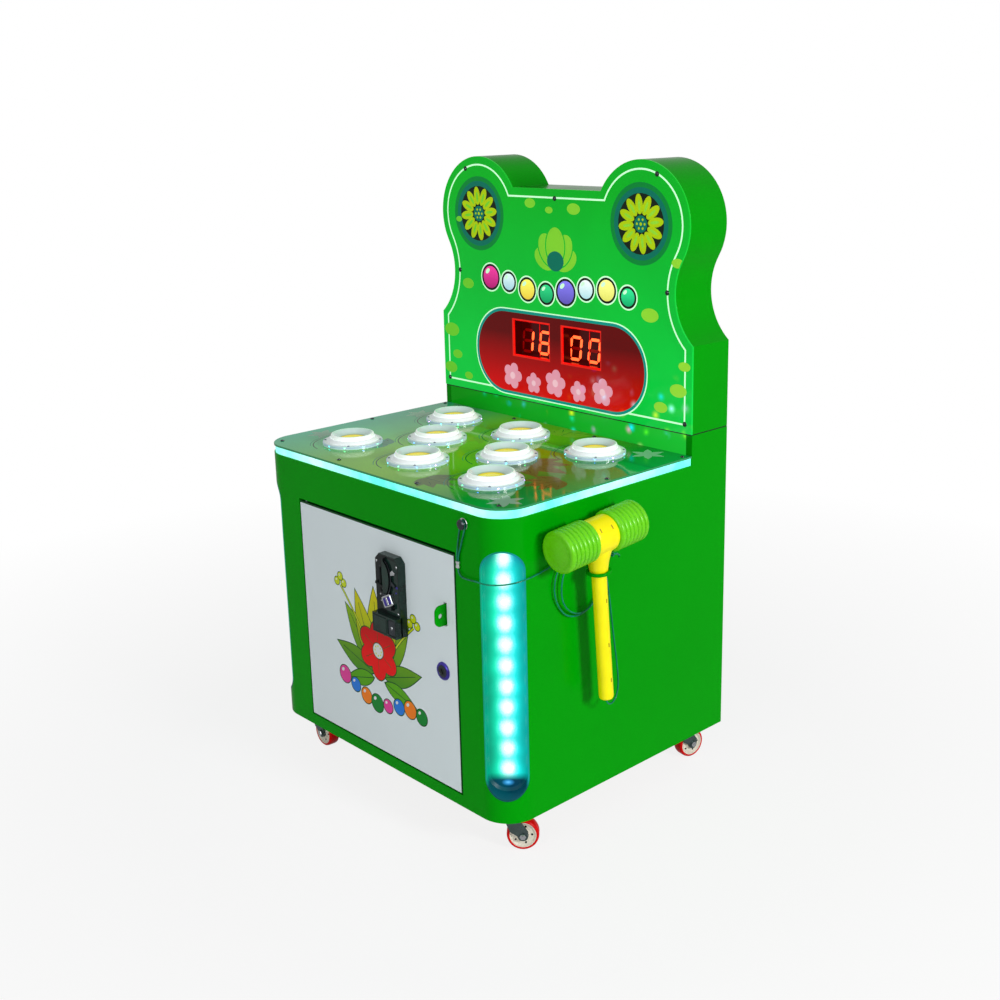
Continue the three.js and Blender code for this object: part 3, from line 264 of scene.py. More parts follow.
# Solids, gathered as points and faces
class Form:
    """Shapes that make one piece; a mark is the number of the material they take."""
    def __init__(self, *materials, place=FACING_UP):
        self.points, self.faces, self.marks = [], [], []
        self.materials, self.place = materials, place

    def add(self, points, faces, mark=0, place=None):
        base, place = len(self.points), place or self.place
        self.points += [place @ Vector(p) for p in points]
        self.faces += [[base + i for i in face] for face in faces]
        self.marks += mark if isinstance(mark, list) else [mark] * len(faces)
        return self

    def rings(self, rings, mark=0, place=None, loop=False):
        """Rings of equally many points joined in turn, closed at both ends or into a loop."""
        count, size = len(rings), len(rings[0])
        faces = []
        for i in range(count if loop else count - 1):
            a, b = i * size, (i + 1) % count * size
            faces += [[a + j, a + (j + 1) % size, b + (j + 1) % size, b + j] for j in range(size)]
        if not loop:
            faces += [list(range(size))[::-1], [(count - 1) * size + j for j in range(size)]]
        return self.add([p for ring in rings for p in ring], faces, mark, place)

    def moulding(self, outline, section, mark=0, place=None):
        """A closed band round an outline, which is given drawn in by the section's insets."""
        rings = [[(x, y, level) for x, y in outline(inset)] for inset, level in section]
        return self.rings(rings, mark, place, loop=True)

    def prism(self, outline, low, high, mark=0, place=None, edge=0.0, foot=0.0):
        """The outline from low to high, its rims drawn in by an edge."""
        levels = [(0, low + foot), (0, high - edge)]
        if foot:
            levels.insert(0, (-foot, low))
        if edge:
            levels.append((-edge, high))
        rings = [[(x, y, level) for x, y in (grown(outline, by) if by else outline)]
                 for by, level in levels]
        return self.rings(rings, mark, place)

    def box(self, low, high, mark=0, place=None, edge=0.0, radius=0.0):
        outline = rectangle(low[0], high[0], low[1], high[1], radius)
        return self.prism(outline, low[2], high[2], mark, place, edge, edge)

    def lathe(self, profile, mark=0, place=None, steps=48, loop=False):
        """A turned solid from (radius, height) pairs about the Z axis."""
        angles = [2 * pi * i / steps for i in range(steps)]
        rings = [[(r * cos(a), r * sin(a), h) for a in angles] for r, h in profile]
        return self.rings(rings, mark, place, loop)

    def tube(self, points, radius, mark=0, place=None, sides=12, loop=False, ribs=None):
        """A round tube along the points; ribs is (strands, turn each step, depth)."""
        spots = [Vector(p) for p in points]
        count = len(spots)
        rings, across = [], None
        for i, spot in enumerate(spots):
            after = spots[(i + 1) % count] if loop or i + 1 < count else spot
            before = spots[i - 1] if loop or i else spot
            ahead = (after - before).normalized()
            guide = across or Vector((0, 0, 1) if abs(ahead.z) < 0.9 else (1, 0, 0))
            across = (guide - ahead * guide.dot(ahead)).normalized()
            other = ahead.cross(across)
            ring = []
            for j in range(sides):
                angle = 2 * pi * j / sides
                reach = radius
                if ribs:
                    reach -= ribs[2] * (1 + cos(ribs[0] * angle + ribs[1] * i)) / 2
                ring.append(spot + (across * cos(angle) + other * sin(angle)) * reach)
            rings.append(ring)
        return self.rings(rings, mark, place, loop)

    def plate(self, outline, low, high, art=(), holes=(), edge=0.4, mark=0, side_mark=0, place=None,
              hole_mark=None):
        """A flat plate whose top carries the art: (outline, material) pairs, later ones on top."""
        shapes = [outline, *holes, *(shape for shape, _ in art)]
        flat, faces = [], []
        for shape in shapes:
            sides = zip(shape, shape[1:] + shape[:1])
            spin = sum(ax * by - bx * ay for (ax, ay), (bx, by) in sides)
            shape = shape if spin > 0 else shape[::-1]
            faces.append(list(range(len(flat), len(flat) + len(shape))))
            flat += [Vector(p) for p in shape]
        spots, _, pieces, _, _, sources = delaunay_2d_cdt(flat, [], faces, 1, 1e-5)
        kept, marks = [], []
        for piece, source in zip(pieces, sources):
            if 0 not in source or any(1 <= s <= len(holes) for s in source):
                continue
            marks_here = [s for s in source if s > len(holes)]
            kept.append(list(piece))
            marks.append(art[max(marks_here) - len(holes) - 1][1] if marks_here else mark)
        sides = [(a, piece[(i + 1) % len(piece)]) for piece in kept for i, a in enumerate(piece)]
        ends = dict.fromkeys(sides)
        rim = {a: b for a, b in ends if (b, a) not in ends}
        outside = set(range(len(spots))) if hole_mark is None else self.outer_loop(rim, spots)
        before = {b: a for a, b in rim.items()}
        count = len(spots)
        points = [(p.x, p.y, high) for p in spots]
        bottom = [(p.x, p.y, low) for p in spots]
        shoulder = {}
        for a in rim:
            first = (spots[a] - spots[before[a]]).normalized()
            second = (spots[rim[a]] - spots[a]).normalized()
            normal = Vector((first.y + second.y, -first.x - second.x)).normalized()
            inner = spots[a] - normal * edge
            points[a] = (inner.x, inner.y, high)
            shoulder[a] = 2 * count + len(shoulder)
        points += bottom + [(spots[a].x, spots[a].y, high - edge) for a in shoulder]
        solid = list(kept)
        solid += [[count + i for i in reversed(piece)] for piece in kept]
        marks += [side_mark if hole_mark is None else hole_mark] * len(kept)
        for a, b in rim.items():
            solid += [[b, a, shoulder[a], shoulder[b]],
                      [shoulder[b], shoulder[a], count + a, count + b]]
            marks += [side_mark if a in outside else hole_mark] * 2
        return self.add(points, solid, marks, place)

    @staticmethod
    def outer_loop(rim, spots):
        """The corners of the loop that runs round the plate, found from its leftmost corner."""
        start = min(rim, key=lambda a: spots[a].x)
        loop, at = {start}, rim[start]
        while at != start:
            loop.add(at)
            at = rim[at]
        return loop

    def build(self, name, body, slot=None, replaces=(), at=CABINET, soften=35, bevel=0.0):
        mesh = bpy.data.meshes.new(name)
        mesh.from_pydata([p * MM for p in self.points], [], self.faces)
        mesh.polygons.foreach_set("material_index", self.marks)
        for material in self.materials:
            mesh.materials.append(material)
        piece = add_object(name, mesh, at)
        tidy_mesh(mesh, soften)
        if bevel:
            add_bevel(piece, bevel)
        if body:
            settle(piece, body, replaces)
        return piece

    def cutter(self, at=CABINET):
        """A piece for use in a cut or a union alone."""
        return self.build("cutter", None, at=at)


def tidy_mesh(mesh, soften):
    work = bmesh.new()
    work.from_mesh(mesh)
    loose = [v for v in work.verts if not v.link_faces]
    bmesh.ops.delete(work, geom=loose, context="VERTS")
    bmesh.ops.recalc_face_normals(work, faces=work.faces)
    work.to_mesh(mesh)
    work.free()
    mesh.polygons.foreach_set("use_smooth", [True] * len(mesh.polygons))
    mesh.set_sharp_from_angle(angle=radians(soften))


def add_bevel(piece, width, angle=35):
    bevel = piece.modifiers.new("edges", "BEVEL")
    bevel.width, bevel.segments = width * MM, 2
    bevel.limit_method, bevel.angle_limit = "ANGLE", radians(angle)
    bevel.use_clamp_overlap = True


def settle(piece, body, replaces=()):
    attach(piece, body)
    if replaces:
        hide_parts(*replaces)


def repaint(piece, material, soften):
    """One material all over a cut or joined piece, and its shading made anew."""
    mesh = piece.data
    mesh.materials.clear()
    mesh.materials.append(material)
    mesh.polygons.foreach_set("material_index", [0] * len(mesh.polygons))
    tidy_mesh(mesh, soften)


def bake(piece):
    """Turns the piece's modifiers into its mesh."""
    bpy.context.view_layer.update()
    shaped = piece.evaluated_get(bpy.context.evaluated_depsgraph_get())
    mesh = bpy.data.meshes.new_from_object(shaped)
    piece.modifiers.clear()
    piece.data = mesh


def combine(piece, others, operation="DIFFERENCE"):
    for other in others:
        step = piece.modifiers.new("join", "BOOLEAN")
        step.operation, step.object, step.solver = operation, other, "EXACT"
    bake(piece)
    for other in others:
        bpy.data.objects.remove(other)


def dress(node, material, bevel=0.4, soften=35):
    """A softened copy of a CAD node that stands for it."""
    source = frame["nodes"][node]
    mesh = source.data.copy()
    work = bmesh.new()
    work.from_mesh(mesh)
    bmesh.ops.remove_doubles(work, verts=work.verts, dist=1e-6)
    bmesh.ops.dissolve_limit(work, angle_limit=radians(1), verts=work.verts, edges=work.edges)
    work.to_mesh(mesh)
    work.free()
    piece = add_object(node + "_dressed", mesh)
    repaint(piece, material, soften)
    if bevel:
        add_bevel(piece, bevel)
    settle(piece, source["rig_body"], (node,))


# Materials, all from nodes
def rgba(colour):
    return (*colour, 1.0)


class Nodes:
    """A node tree, with short ways to fill it."""
    def __init__(self, tree):
        self.tree = tree

    def put(self, value, socket):
        """Links a socket's value, or sets a plain one."""
        if isinstance(value, bpy.types.NodeSocket):
            self.tree.links.new(value, socket)
        else:
            socket.default_value = rgba(value) if socket.type == "RGBA" else value

    def node(self, kind, inputs=None, **settings):
        made = self.tree.nodes.new("ShaderNode" + kind)
        for key, value in settings.items():
            setattr(made, key, value)
        for key, value in (inputs or {}).items():
            self.put(value, made.inputs[key])
        return made

    def mapped(self, value, low, high, to_low=0.0, to_high=1.0):
        return self.node("MapRange", {"Value": value, "From Min": low, "From Max": high,
                                      "To Min": to_low, "To Max": to_high}).outputs["Result"]

    def math(self, operation, *values):
        return self.node("Math", dict(enumerate(values)), operation=operation).outputs[0]

    def product(self, *values):
        return reduce(lambda a, b: self.math("MULTIPLY", a, b), values)

    def total(self, *values):
        return reduce(lambda a, b: self.math("ADD", a, b), values)

    def less(self, first, second):
        return self.math("SUBTRACT", first, second)

    def length(self, *values):
        return self.math("SQRT", self.total(*[self.math("POWER", value, 2.0) for value in values]))


class Finish(Nodes):
    """A material with its node tree, and the nodes most of them share."""
    def __init__(self, name, material=None):
        self.material = material or bpy.data.materials.new(name)
        self.material.use_nodes = True
        super().__init__(self.material.node_tree)
        self.shader = self.tree.nodes["Principled BSDF"]
        self.coords = self.node("TexCoord").outputs["Object"]

    def link(self, socket, name):
        self.put(socket, self.shader.inputs[name])

    def noise(self, scale, detail=3.0, stretch=(1, 1, 1)):
        vector = self.node("Mapping", {"Vector": self.coords, "Scale": stretch}).outputs["Vector"]
        return self.node("TexNoise",
                         {"Vector": vector, "Scale": scale, "Detail": detail}).outputs["Fac"]

    def bell(self, value, width):
        """One where a length is nothing, fading to nothing over a width in millimetres."""
        share = self.math("POWER", self.math("DIVIDE", value, width * MM), 2.0)
        return self.math("EXPONENT", self.product(share, -1.0))

    def mix(self, share, first, second, blend="MIX"):
        made = self.node("Mix", data_type="RGBA", blend_type=blend)
        for place, value in ((0, share), (6, first), (7, second)):
            self.put(value, made.inputs[place])
        return made.outputs[2]

    def tinted(self, first, second):
        return self.mix(1.0, first, second, "MULTIPLY")

    def added(self, first, second):
        return self.mix(1.0, first, second, "ADD")

    def axis(self, name):
        return self.node("SeparateXYZ", {"Vector": self.coords}).outputs[name]

    def radius(self):
        return self.length(self.axis("X"), self.axis("Y"))

    def ramp(self, value, low, high, stops):
        """Colours along a value in millimetres."""
        made = self.node("ValToRGB", {"Fac": self.mapped(value, low * MM, high * MM)})
        elements = made.color_ramp.elements
        ordered = [((place - low) / (high - low), rgba(colour)) for place, colour in sorted(stops)]
        for stop, (share, colour) in zip((elements[0], elements[1]), (ordered[0], ordered[-1])):
            stop.position, stop.color = share, colour
        for share, colour in ordered[1:-1]:
            elements.new(share).color = colour
        return made.outputs["Color"]

    def lamp_spots(self, left, right, low, high):
        """Soft coloured spots that the moles' lamps throw on a region of an upright face."""
        flat = self.node("CombineXYZ", {"X": self.axis("X"), "Y": self.axis("Z")}).outputs[0]
        cells = self.node("TexVoronoi", {"Vector": flat, "Scale": 30.0}, voronoi_dimensions="2D")
        spot = self.math("POWER", self.mapped(cells.outputs["Distance"], 0.0, 0.34, 1.0, 0.0), 2.2)
        tint = self.node("HueSaturation",
                         {"Color": cells.outputs["Color"], "Saturation": 1.7}).outputs[0]
        tint = self.tinted(tint, (0.6, 1.0, 1.0))
        across = self.product(self.mapped(self.axis("X"), left * MM, (left + 90) * MM),
                              self.mapped(self.axis("X"), (right - 30) * MM, right * MM, 1.0, 0.0))
        upright = self.mapped(self.axis("Z"), low * MM, high * MM, 1.0, 0.0)
        some = self.mapped(self.noise(16.0), 0.44, 0.56)
        share = self.product(self.product(spot, some), self.product(across, upright))
        return self.mix(share, (0, 0, 0), self.tinted(tint, (2.2, 2.2, 2.2)))

    def finish(self, base, rough=0.35, metal=0.0, vary=0.06, patch=14.0, speck=0.05, grain=0.0,
               grain_size=600.0, stretch=(1, 1, 1), specular=0.5, coat=0.0, glow=0.0):
        shade = self.mapped(self.noise(patch), 0.3, 0.7, 1 - vary, 1 + vary)
        colour = self.tinted(base, shade)
        self.link(colour, "Base Color")
        low, high = max(rough - speck, 0.02), rough + speck
        self.link(self.mapped(self.noise(patch * 5, 5.0), 0.3, 0.7, low, high), "Roughness")
        if grain:
            height = self.noise(grain_size, 2.0, stretch)
            bump = self.node("Bump", {"Height": height, "Strength": grain, "Distance": 0.0003})
            self.link(bump.outputs["Normal"], "Normal")
        sockets = self.shader.inputs
        for name, value in (("Metallic", metal), ("Specular IOR Level", specular),
                            ("Coat Weight", coat), ("Coat Roughness", 0.05)):
            sockets[name].default_value = value
        if glow:
            self.shine(colour, glow)
        return self.material

    def shine(self, colour, strength):
        self.link(colour, "Emission Color")
        self.shader.inputs["Emission Strength"].default_value = strength


def surface(name, colour, fade=None, **settings):
    """A material of one colour, or fading to another along an axis between two places."""
    made = Finish(name)
    if fade:
        other, axis, low, high = fade
        share = made.mapped(made.axis(axis), low * MM, high * MM)
        colour = made.mix(share, colour, other)
    return made.finish(colour, **settings)


def ringed(name, stops, low, high, **settings):
    """A material whose colour follows the distance from the piece's own axis."""
    made = Finish(name)
    return made.finish(made.ramp(made.radius(), low, high, stops), **settings)


def glossy_print(name, colour, fade=None, glow=0.0, spots=None):
    """Ink under a clear glossy sheet, with coloured spots of light in a region if one is given."""
    material = surface(name, colour, fade, rough=0.1, vary=0.05, patch=9.0, speck=0.03,
                       specular=0.12, coat=0.16, glow=glow)
    if spots:
        made = Finish(name, material)
        ink = made.shader.inputs["Emission Color"].links[0].from_socket
        made.link(made.added(ink, made.lamp_spots(*spots)), "Emission Color")
    return material


class Inks(list):
    """The materials of one print; each new ink gives its number among them."""
    def __init__(self, prefix, first=(), glow=0.0):
        super().__init__(first)
        self.prefix, self.glow = prefix, glow

    def add(self, name, colour, fade=None, glow=None, spots=None):
        glow = self.glow if glow is None else glow
        self.append(glossy_print(self.prefix + name, colour, fade, glow, spots))
        return len(self) - 1


def trough_material(name):
    """A trough with the light of a row of lamps painted in its glow, dimming towards its walls and
    its foot, with painted shade at its top and round its rim and a painted blue glint at its foot.
    """
    made = Finish(name)
    beyond = made.less(made.math("ABSOLUTE", made.axis("X")), (HALF_WIDTH - CORNER_RADIUS) * MM)
    behind = made.total(made.axis("Y"), -(FRONT + CORNER_RADIUS) * MM)
    across = made.product(made.total(beyond, behind), sqrt(0.5))
    outward = made.product(made.less(beyond, behind), sqrt(0.5))
    depth = made.less(outward, TRAY_FLOOR * MM)

    along = made.less(LED_TOP * MM, made.axis("Z"))
    lamp = made.math("ROUND", made.math("DIVIDE", along, LED_PITCH * MM))
    lamp = made.math("MINIMUM", LED_COUNT - 1.0, made.math("MAXIMUM", 0.0, lamp))
    near = made.less(along, made.product(LED_PITCH * MM, lamp))
    ragged = made.total(made.length(across, near, depth),
                        made.mapped(made.noise(700.0, 2.0), 0.3, 0.7, -2 * MM, 2 * MM))
    row = made.product(made.bell(across, 19.0), made.bell(depth, 34.0))
    shine = made.total(made.product(made.bell(ragged, 11.5), 0.66), made.product(row, 0.48))
    lights = ((0, (0.0, 0.17, 0.13)), (0.14, (0.0, 0.36, 0.29)), (0.30, (0.01, 0.56, 0.48)),
              (0.52, (0.14, 0.80, 0.76)), (0.72, (0.62, 0.98, 0.97)), (0.86, (0.97, 1.0, 1.0)),
              (1, (1.0, 1.0, 1.0)))
    light = made.ramp(made.product(shine, MM), 0, 1, lights)

    # Painted shade: near the trough's top the glow darkens to a dark blue, away from its middle
    # line.
    painted_top_shade = made.mapped(made.axis("Z"), (SLOT[1] - 36) * MM, (SLOT[1] - 18) * MM, 0.0, 0.92)
    painted_top_shade = made.product(painted_top_shade, made.less(1.0, made.bell(across, 14.0)))
    tint = made.mix(made.mapped(across, -17 * MM, 17 * MM), (0.45, 1.0, 0.66), (1.0, 1.12, 1.28))
    lit = made.tinted(made.mix(painted_top_shade, light, (0.0, 0.10, 0.16)), tint)

    # Painted highlight and shade at the foot: a blue glint low on the middle line, fading to dark
    # blue below the last lamp.
    low = made.less(made.axis("Z"), (SLOT[0] + 15) * MM)
    glint = made.length(made.product(low, 1.7), across)
    painted_foot_glint_and_shade = ((0, (0.10, 0.42, 0.78)), (5, (0.02, 0.16, 0.40)), (10, (0.0, 0.012, 0.05)),
              (24, (0.0, 0.006, 0.02)))
    deep = made.ramp(glint, 0, 24, painted_foot_glint_and_shade)
    foot = made.mapped(made.axis("Z"), (SLOT[0] + 19) * MM, (SLOT[0] + 31) * MM)
    patchy = made.mapped(made.noise(22.0, 4.0), 0.3, 0.7, 0.82, 1.2)
    # Painted shade round the trough's rim, where it meets the cabinet's face.
    painted_rim_shade = made.mapped(outward, (CORNER_RADIUS - 3.5) * MM, (CORNER_RADIUS - 0.5) * MM, 1.0, 0.3)
    made.finish((0.0, 0.08, 0.08), rough=0.34, vary=0.08, patch=30.0, specular=0.25)
    made.shine(made.tinted(made.mix(foot, deep, lit), made.product(patchy, painted_rim_shade)), 1.3)
    return made.material


def spilled_light():
    """The paint of the riser, with the soft light that the lamps of the moles throw on it."""
    made = Finish("green_paint_lit")
    made.finish((0.0, 0.36, 0.004), rough=0.14, vary=0.04, patch=4.0, specular=0.12)
    share = made.mapped(made.axis("X"), -HALF_WIDTH * MM, HALF_WIDTH * MM)
    spill = made.mix(share, (0.0, 0.08, 0.0), (0.01, 0.34, 0.03))
    made.shine(made.added(spill, made.lamp_spots(-260, 320, 470, 760)), 1.0)
    return made.material


def patchy_glow():
    """The lit edge strip, whiter where a lamp sits behind it."""
    made = Finish("glow_plastic")
    share = made.mapped(made.noise(9.0, 4.0), 0.35, 0.65)
    tint = made.mix(share, (0.10, 0.74, 0.60), (0.48, 0.96, 0.86))
    return made.finish(tint, rough=0.3, vary=0.08, patch=40.0, specular=0.3, glow=1.0)


GREEN = surface("green_paint", (0.0, 0.335, 0.002), rough=0.17, vary=0.04, patch=4.0, speck=0.03,
                grain=0.04, grain_size=260.0, specular=0.05)
GREEN_EDGE = surface("green_paint_dark", (0.0, 0.09, 0.004), rough=0.4, vary=0.1)
DOOR_WHITE = surface("door_white", (0.83, 0.93, 0.96), rough=0.3, vary=0.012, patch=3.0, speck=0.01,
                     grain=0.04, grain_size=300.0, specular=0.12)
CHROME = surface("chrome", (0.62, 0.64, 0.66), rough=0.12, metal=1.0, vary=0.05, patch=60.0)
DARK_CHROME = surface("dark_chrome", (0.06, 0.07, 0.08), rough=0.14, metal=0.9, vary=0.2,
                      patch=90.0)
ZINC = surface("zinc_steel", (0.11, 0.155, 0.15), rough=0.3, metal=0.9, vary=0.16, patch=50.0,
               grain=0.1, grain_size=900.0)
ALUMINIUM = surface("crimp_aluminium", (0.80, 0.83, 0.86), rough=0.3, metal=0.85, vary=0.08,
                    patch=120.0, grain=0.3, grain_size=1400.0)
BLACK = surface("black_plastic", (0.004, 0.008, 0.008), rough=0.16, vary=0.3, patch=40.0,
                grain=0.15, grain_size=1500.0, specular=0.3)
SMOKE = surface("smoke_plastic", (0.006, 0.028, 0.020), rough=0.1, vary=0.4, patch=45.0,
                specular=0.4)
# Chrome with the purple of its reflections painted into its colour: the acceptor's small bits and
# reject button, and the lock's bezel.
CHROME_PAINTED_PURPLE_REFLECTION = surface("chrome_painted_purple_reflection", (0.07, 0.05, 0.40), rough=0.14, metal=0.7, vary=0.25, patch=110.0)
TREAD = surface("red_tread", (0.72, 0.002, 0.002), rough=0.3, vary=0.08, patch=40.0, grain=0.15,
                grain_size=1100.0, specular=0.15)
HUB = surface("wheel_hub", (0.78, 0.74, 0.62), rough=0.42, vary=0.06, patch=60.0, grain=0.1)
YELLOW = surface("mallet_yellow", (1.0, 0.90, 0.0), rough=0.34, vary=0.05, patch=22.0, grain=0.12,
                 grain_size=420.0, specular=0.3)
YELLOW_MARK = surface("mallet_mark", (0.30, 0.17, 0.0), rough=0.5, vary=0.1)
BELLOWS = surface("bellows_green", (0.15, 0.66, 0.004), rough=0.27, vary=0.08, patch=24.0,
                  grain=0.1, grain_size=500.0, specular=0.35)
CORD_COVER = surface("cord_cover", (0.0, 0.22, 0.12), rough=0.22, vary=0.3, patch=60.0,
                     specular=0.35)
WOOD = surface("board_wood", (0.46, 0.29, 0.14), rough=0.65, vary=0.22, patch=20.0, grain=0.4,
               grain_size=90.0, stretch=(1, 8, 1))
CIRCUIT = surface("circuit_board", (0.01, 0.13, 0.04), rough=0.4, vary=0.15, patch=80.0)
GREEN_LIT = spilled_light()
GLOW = patchy_glow()
# Painted light: the display cases' dark red walls, their bright red edges and the unlit segments
# glow with the red light of the lit digits.
CASE_RED_PAINTED_GLOW = surface("display_case_painted_glow", (0.055, 0.0, 0.0), rough=0.2, vary=0.2, patch=50.0, specular=0.2,
                   glow=0.45)
CASE_EDGE_PAINTED_GLOW = surface("display_edge_painted_glow", (0.75, 0.0, 0.0), rough=0.25, vary=0.2, patch=90.0,
                    specular=0.2, glow=0.8)
LIT_DIGIT = surface("digit_lit", (1.0, 0.085, 0.02), rough=0.4, vary=0.1, patch=120.0, glow=3.0)
DIM_DIGIT_PAINTED_GLOW = surface("digit_dim_painted_glow", (0.30, 0.0, 0.0), rough=0.3, vary=0.1, patch=120.0, specular=0.2,
                    glow=0.35)
# The troughs and the boards of their lamp strips carry the lamps' light painted in their glow.
TROUGH = trough_material("trough_lit")
STRIP_LIT = trough_material("lamp_strip_lit")
LAMP = surface("lamp_white", (0.9, 1.0, 1.0), rough=0.3, vary=0.02, glow=2.5)


# Small fasteners
def add_screws(form, spots, level, radius, place=FACING_UP, mark=0, slot_mark=1, height=1.6,
               washer=0.0):
    """Round-headed screws with a cross in each head, on washers where these have a radius."""
    angles = [radians(a) for a in (15, 35, 55, 75)]
    dome = [(radius, 0.0), *((radius * cos(a), height * sin(a) ** 0.8) for a in angles),
            (radius * 0.06, height)]
    reach, half = radius * 0.55, radius * 0.13
    for x, y in spots:
        spot = place @ shift(x, y, level)
        if washer:
            form.lathe([(washer, 0), (washer - 0.2, 0.4)], slot_mark, spot, 24)
            spot = spot @ shift(0, 0, 0.4)
        form.lathe(dome, mark, spot, 20)
        for angle in (20, 110):
            form.box((-reach, -half, height - 0.5), (reach, half, height + 0.04), slot_mark,
                     spot @ rotate(angle))


# Cabinet: front with its round corners, and both sides, painted as one
def make_cabinet_skin():
    skin = Form(GREEN).prism(cabinet_plan(0, SHELL_BACK), UNDERSIDE, SIDE_TOP)
    skin = skin.build("cabinet_skin", None)
    past, rod_hole, rod_end, overlap = 2, 3.3, 8.3, 0.001
    hollow = Form().prism(cabinet_plan(BOARD, SHELL_BACK + past), UNDERSIDE - past, SIDE_TOP + past)
    left, right, low, high = DOOR
    doorway = Form().box((left - 2, FRONT - past, low - 2),
                         (right + 2, FRONT + BOARD + past, high + 4))
    wall = [(rod_hole, low - rod_end), (rod_hole, high + rod_end)]
    bore = Form().lathe(wall, 0, shift(*HINGE), 20)
    slots = [Form().prism(stadium(0), 0, CORNER_RADIUS + past, 0, corner_place(side))
             for side in (-1, 1)]
    combine(skin, [shape.cutter() for shape in (hollow, doorway, bore, *slots)])
    sides_front = SHELL_BACK - overlap
    outline = [(sides_front, UNDERSIDE), (BACK, UNDERSIDE), (BACK, SEAM), (RISER, SEAM),
               (RISER, SIDE_TOP), (sides_front, SIDE_TOP)]
    sides = []
    for side in (-1, 1):
        low, high = sorted((side * (HALF_WIDTH - BOARD), side * HALF_WIDTH))
        sides.append(Form().prism(outline, low, high, place=FACING_RIGHT).cutter())
    combine(skin, sides, "UNION")
    depth, height = 1.2, 1.5
    seam = Form().box((-HALF_WIDTH - past, RISER - past, SEAM - height),
                      (HALF_WIDTH + past, BACK + past, SEAM + past))
    core = Form().box((-HALF_WIDTH + depth, RISER - 4, SEAM - 3),
                      (HALF_WIDTH - depth, BACK + 4, SEAM + 4))
    seam = seam.cutter()
    combine(seam, [core.cutter()])
    combine(skin, [seam])
    repaint(skin, GREEN, 30)
    add_bevel(skin, 0.7, 40)
    settle(skin, "cabinet", ("front_shell", "left_side_panel", "right_side_panel"))


def make_seam_gasket():
    """The dark joint between the cabinet and the sign."""
    gasket = Form(BLACK)
    for side in (-1, 1):
        low, high = sorted((side * (HALF_WIDTH - 1.1), side * (HALF_WIDTH - 0.25)))
        gasket.box((low, RISER + 0.4, SEAM - 1.4), (high, BACK - 0.4, SEAM - 0.05))
    gasket.box((-HALF_WIDTH + 1.2, RISER - 0.45, SEAM - 1.9),
               (HALF_WIDTH - 1.2, RISER - 0.05, SEAM - 0.35))
    gasket.build("seam_gasket", "cabinet", "black_plastic")


# Playfield: a printed sheet with a clear flange screwed round each mole
def make_playfield():
    across = ((-300, (0.03, 0.44, 0.27)), (-190, (0.10, 0.50, 0.17)), (-90, (0.19, 0.52, 0.03)),
              (20, (0.20, 0.50, 0.0)), (120, (0.10, 0.40, 0.0)), (210, (0.0, 0.26, 0.02)),
              (300, (0.0, 0.40, 0.08)))
    deep = ((-250, (0.95, 1.0, 0.9)), (-60, (1.0, 1.0, 1.0)), (160, (0.72, 0.78, 0.7)))
    bands = Finish("playfield_print")
    colour = bands.tinted(bands.ramp(bands.axis("X"), -300, 300, across),
                          bands.ramp(bands.axis("Y"), -250, 160, deep))
    # The field's print glows a little all over: painted light.
    field_painted_glow = bands.finish(colour, rough=0.06, vary=0.14, patch=5.0, speck=0.02, specular=0.12,
                         coat=0.22, glow=0.16)
    inks = Inks("playfield_", [field_painted_glow])
    line = inks.add("lines", (0.0, 0.13, 0.02))
    teal = inks.add("teal", (0.0, 0.28, 0.16))
    splash = inks.add("splash", (0.30, 0.62, 0.42))
    lime = inks.add("lime", (0.24, 0.50, 0.02))
    edge = len(inks)
    inks.append(surface("cover_edge", (0.02, 0.30, 0.10), rough=0.1, vary=0.1, specular=0.6))
    olive = inks.add("olive", (0.11, 0.20, 0.03))
    mist = inks.add("mist", (0.10, 0.34, 0.20))
    art = []
    for x, y in ((-255, 60), (262, -205), (240, 125), (-30, 10), (-262, -150)):
        art += [(leaf(x, y, 30, 13, turn + 12), splash if abs(x) > 100 else lime)
                for turn in range(0, 360, 60)]
    sprays = ((128, -52, 96, 5, olive), (-212, 128, 78, 150, mist), (86, -206, 62, 2, olive),
              (52, 118, 66, 100, lime), (-120, -120, 58, 200, mist), (246, -78, 66, 250, olive))
    for x, y, size, turn, fill in sprays:
        for swing in (-58, 58, -30, 30, 0):
            length = size * (1 - abs(swing) / 200)
            blade = leaf(x, y, length, size * 0.34, turn + swing)
            tip = turned_points([(length * 0.72, 0)], turn + swing, (x, y))[0]
            art += [(blade, line), (grown(blade, -1.3), fill), (band([(x, y), tip], 1.2), line)]
    for x, y in MOLES:
        art += [(band(arc(x, y, 66, 150, 262, 20), 2.0), line),
                (band(arc(x, y, 71, 165, 240, 16), 1.2), teal)]
    holes = [circle(x, y, 49, 44) for x, y in MOLES]
    cover = Form(*inks)
    cover.plate(cabinet_plan(0, RISER - 0.3), COVER_BOTTOM, COVER_TOP, art, holes, 0.6,
                side_mark=edge)
    cover.build("playfield_sheet", "cabinet", "clear_acrylic", ("playfield_cover",), soften=20)
    heads = Form(DARK_CHROME, BLACK)
    right = ((273, -227), (99, -234), (290, -24), (291, 149), (99, 149))
    spots = [(side * x, y) for x, y in right for side in (1, -1)]
    add_screws(heads, spots, COVER_TOP, 2.9, washer=3.8)
    heads.build("cover_screws", "cabinet", "chrome")


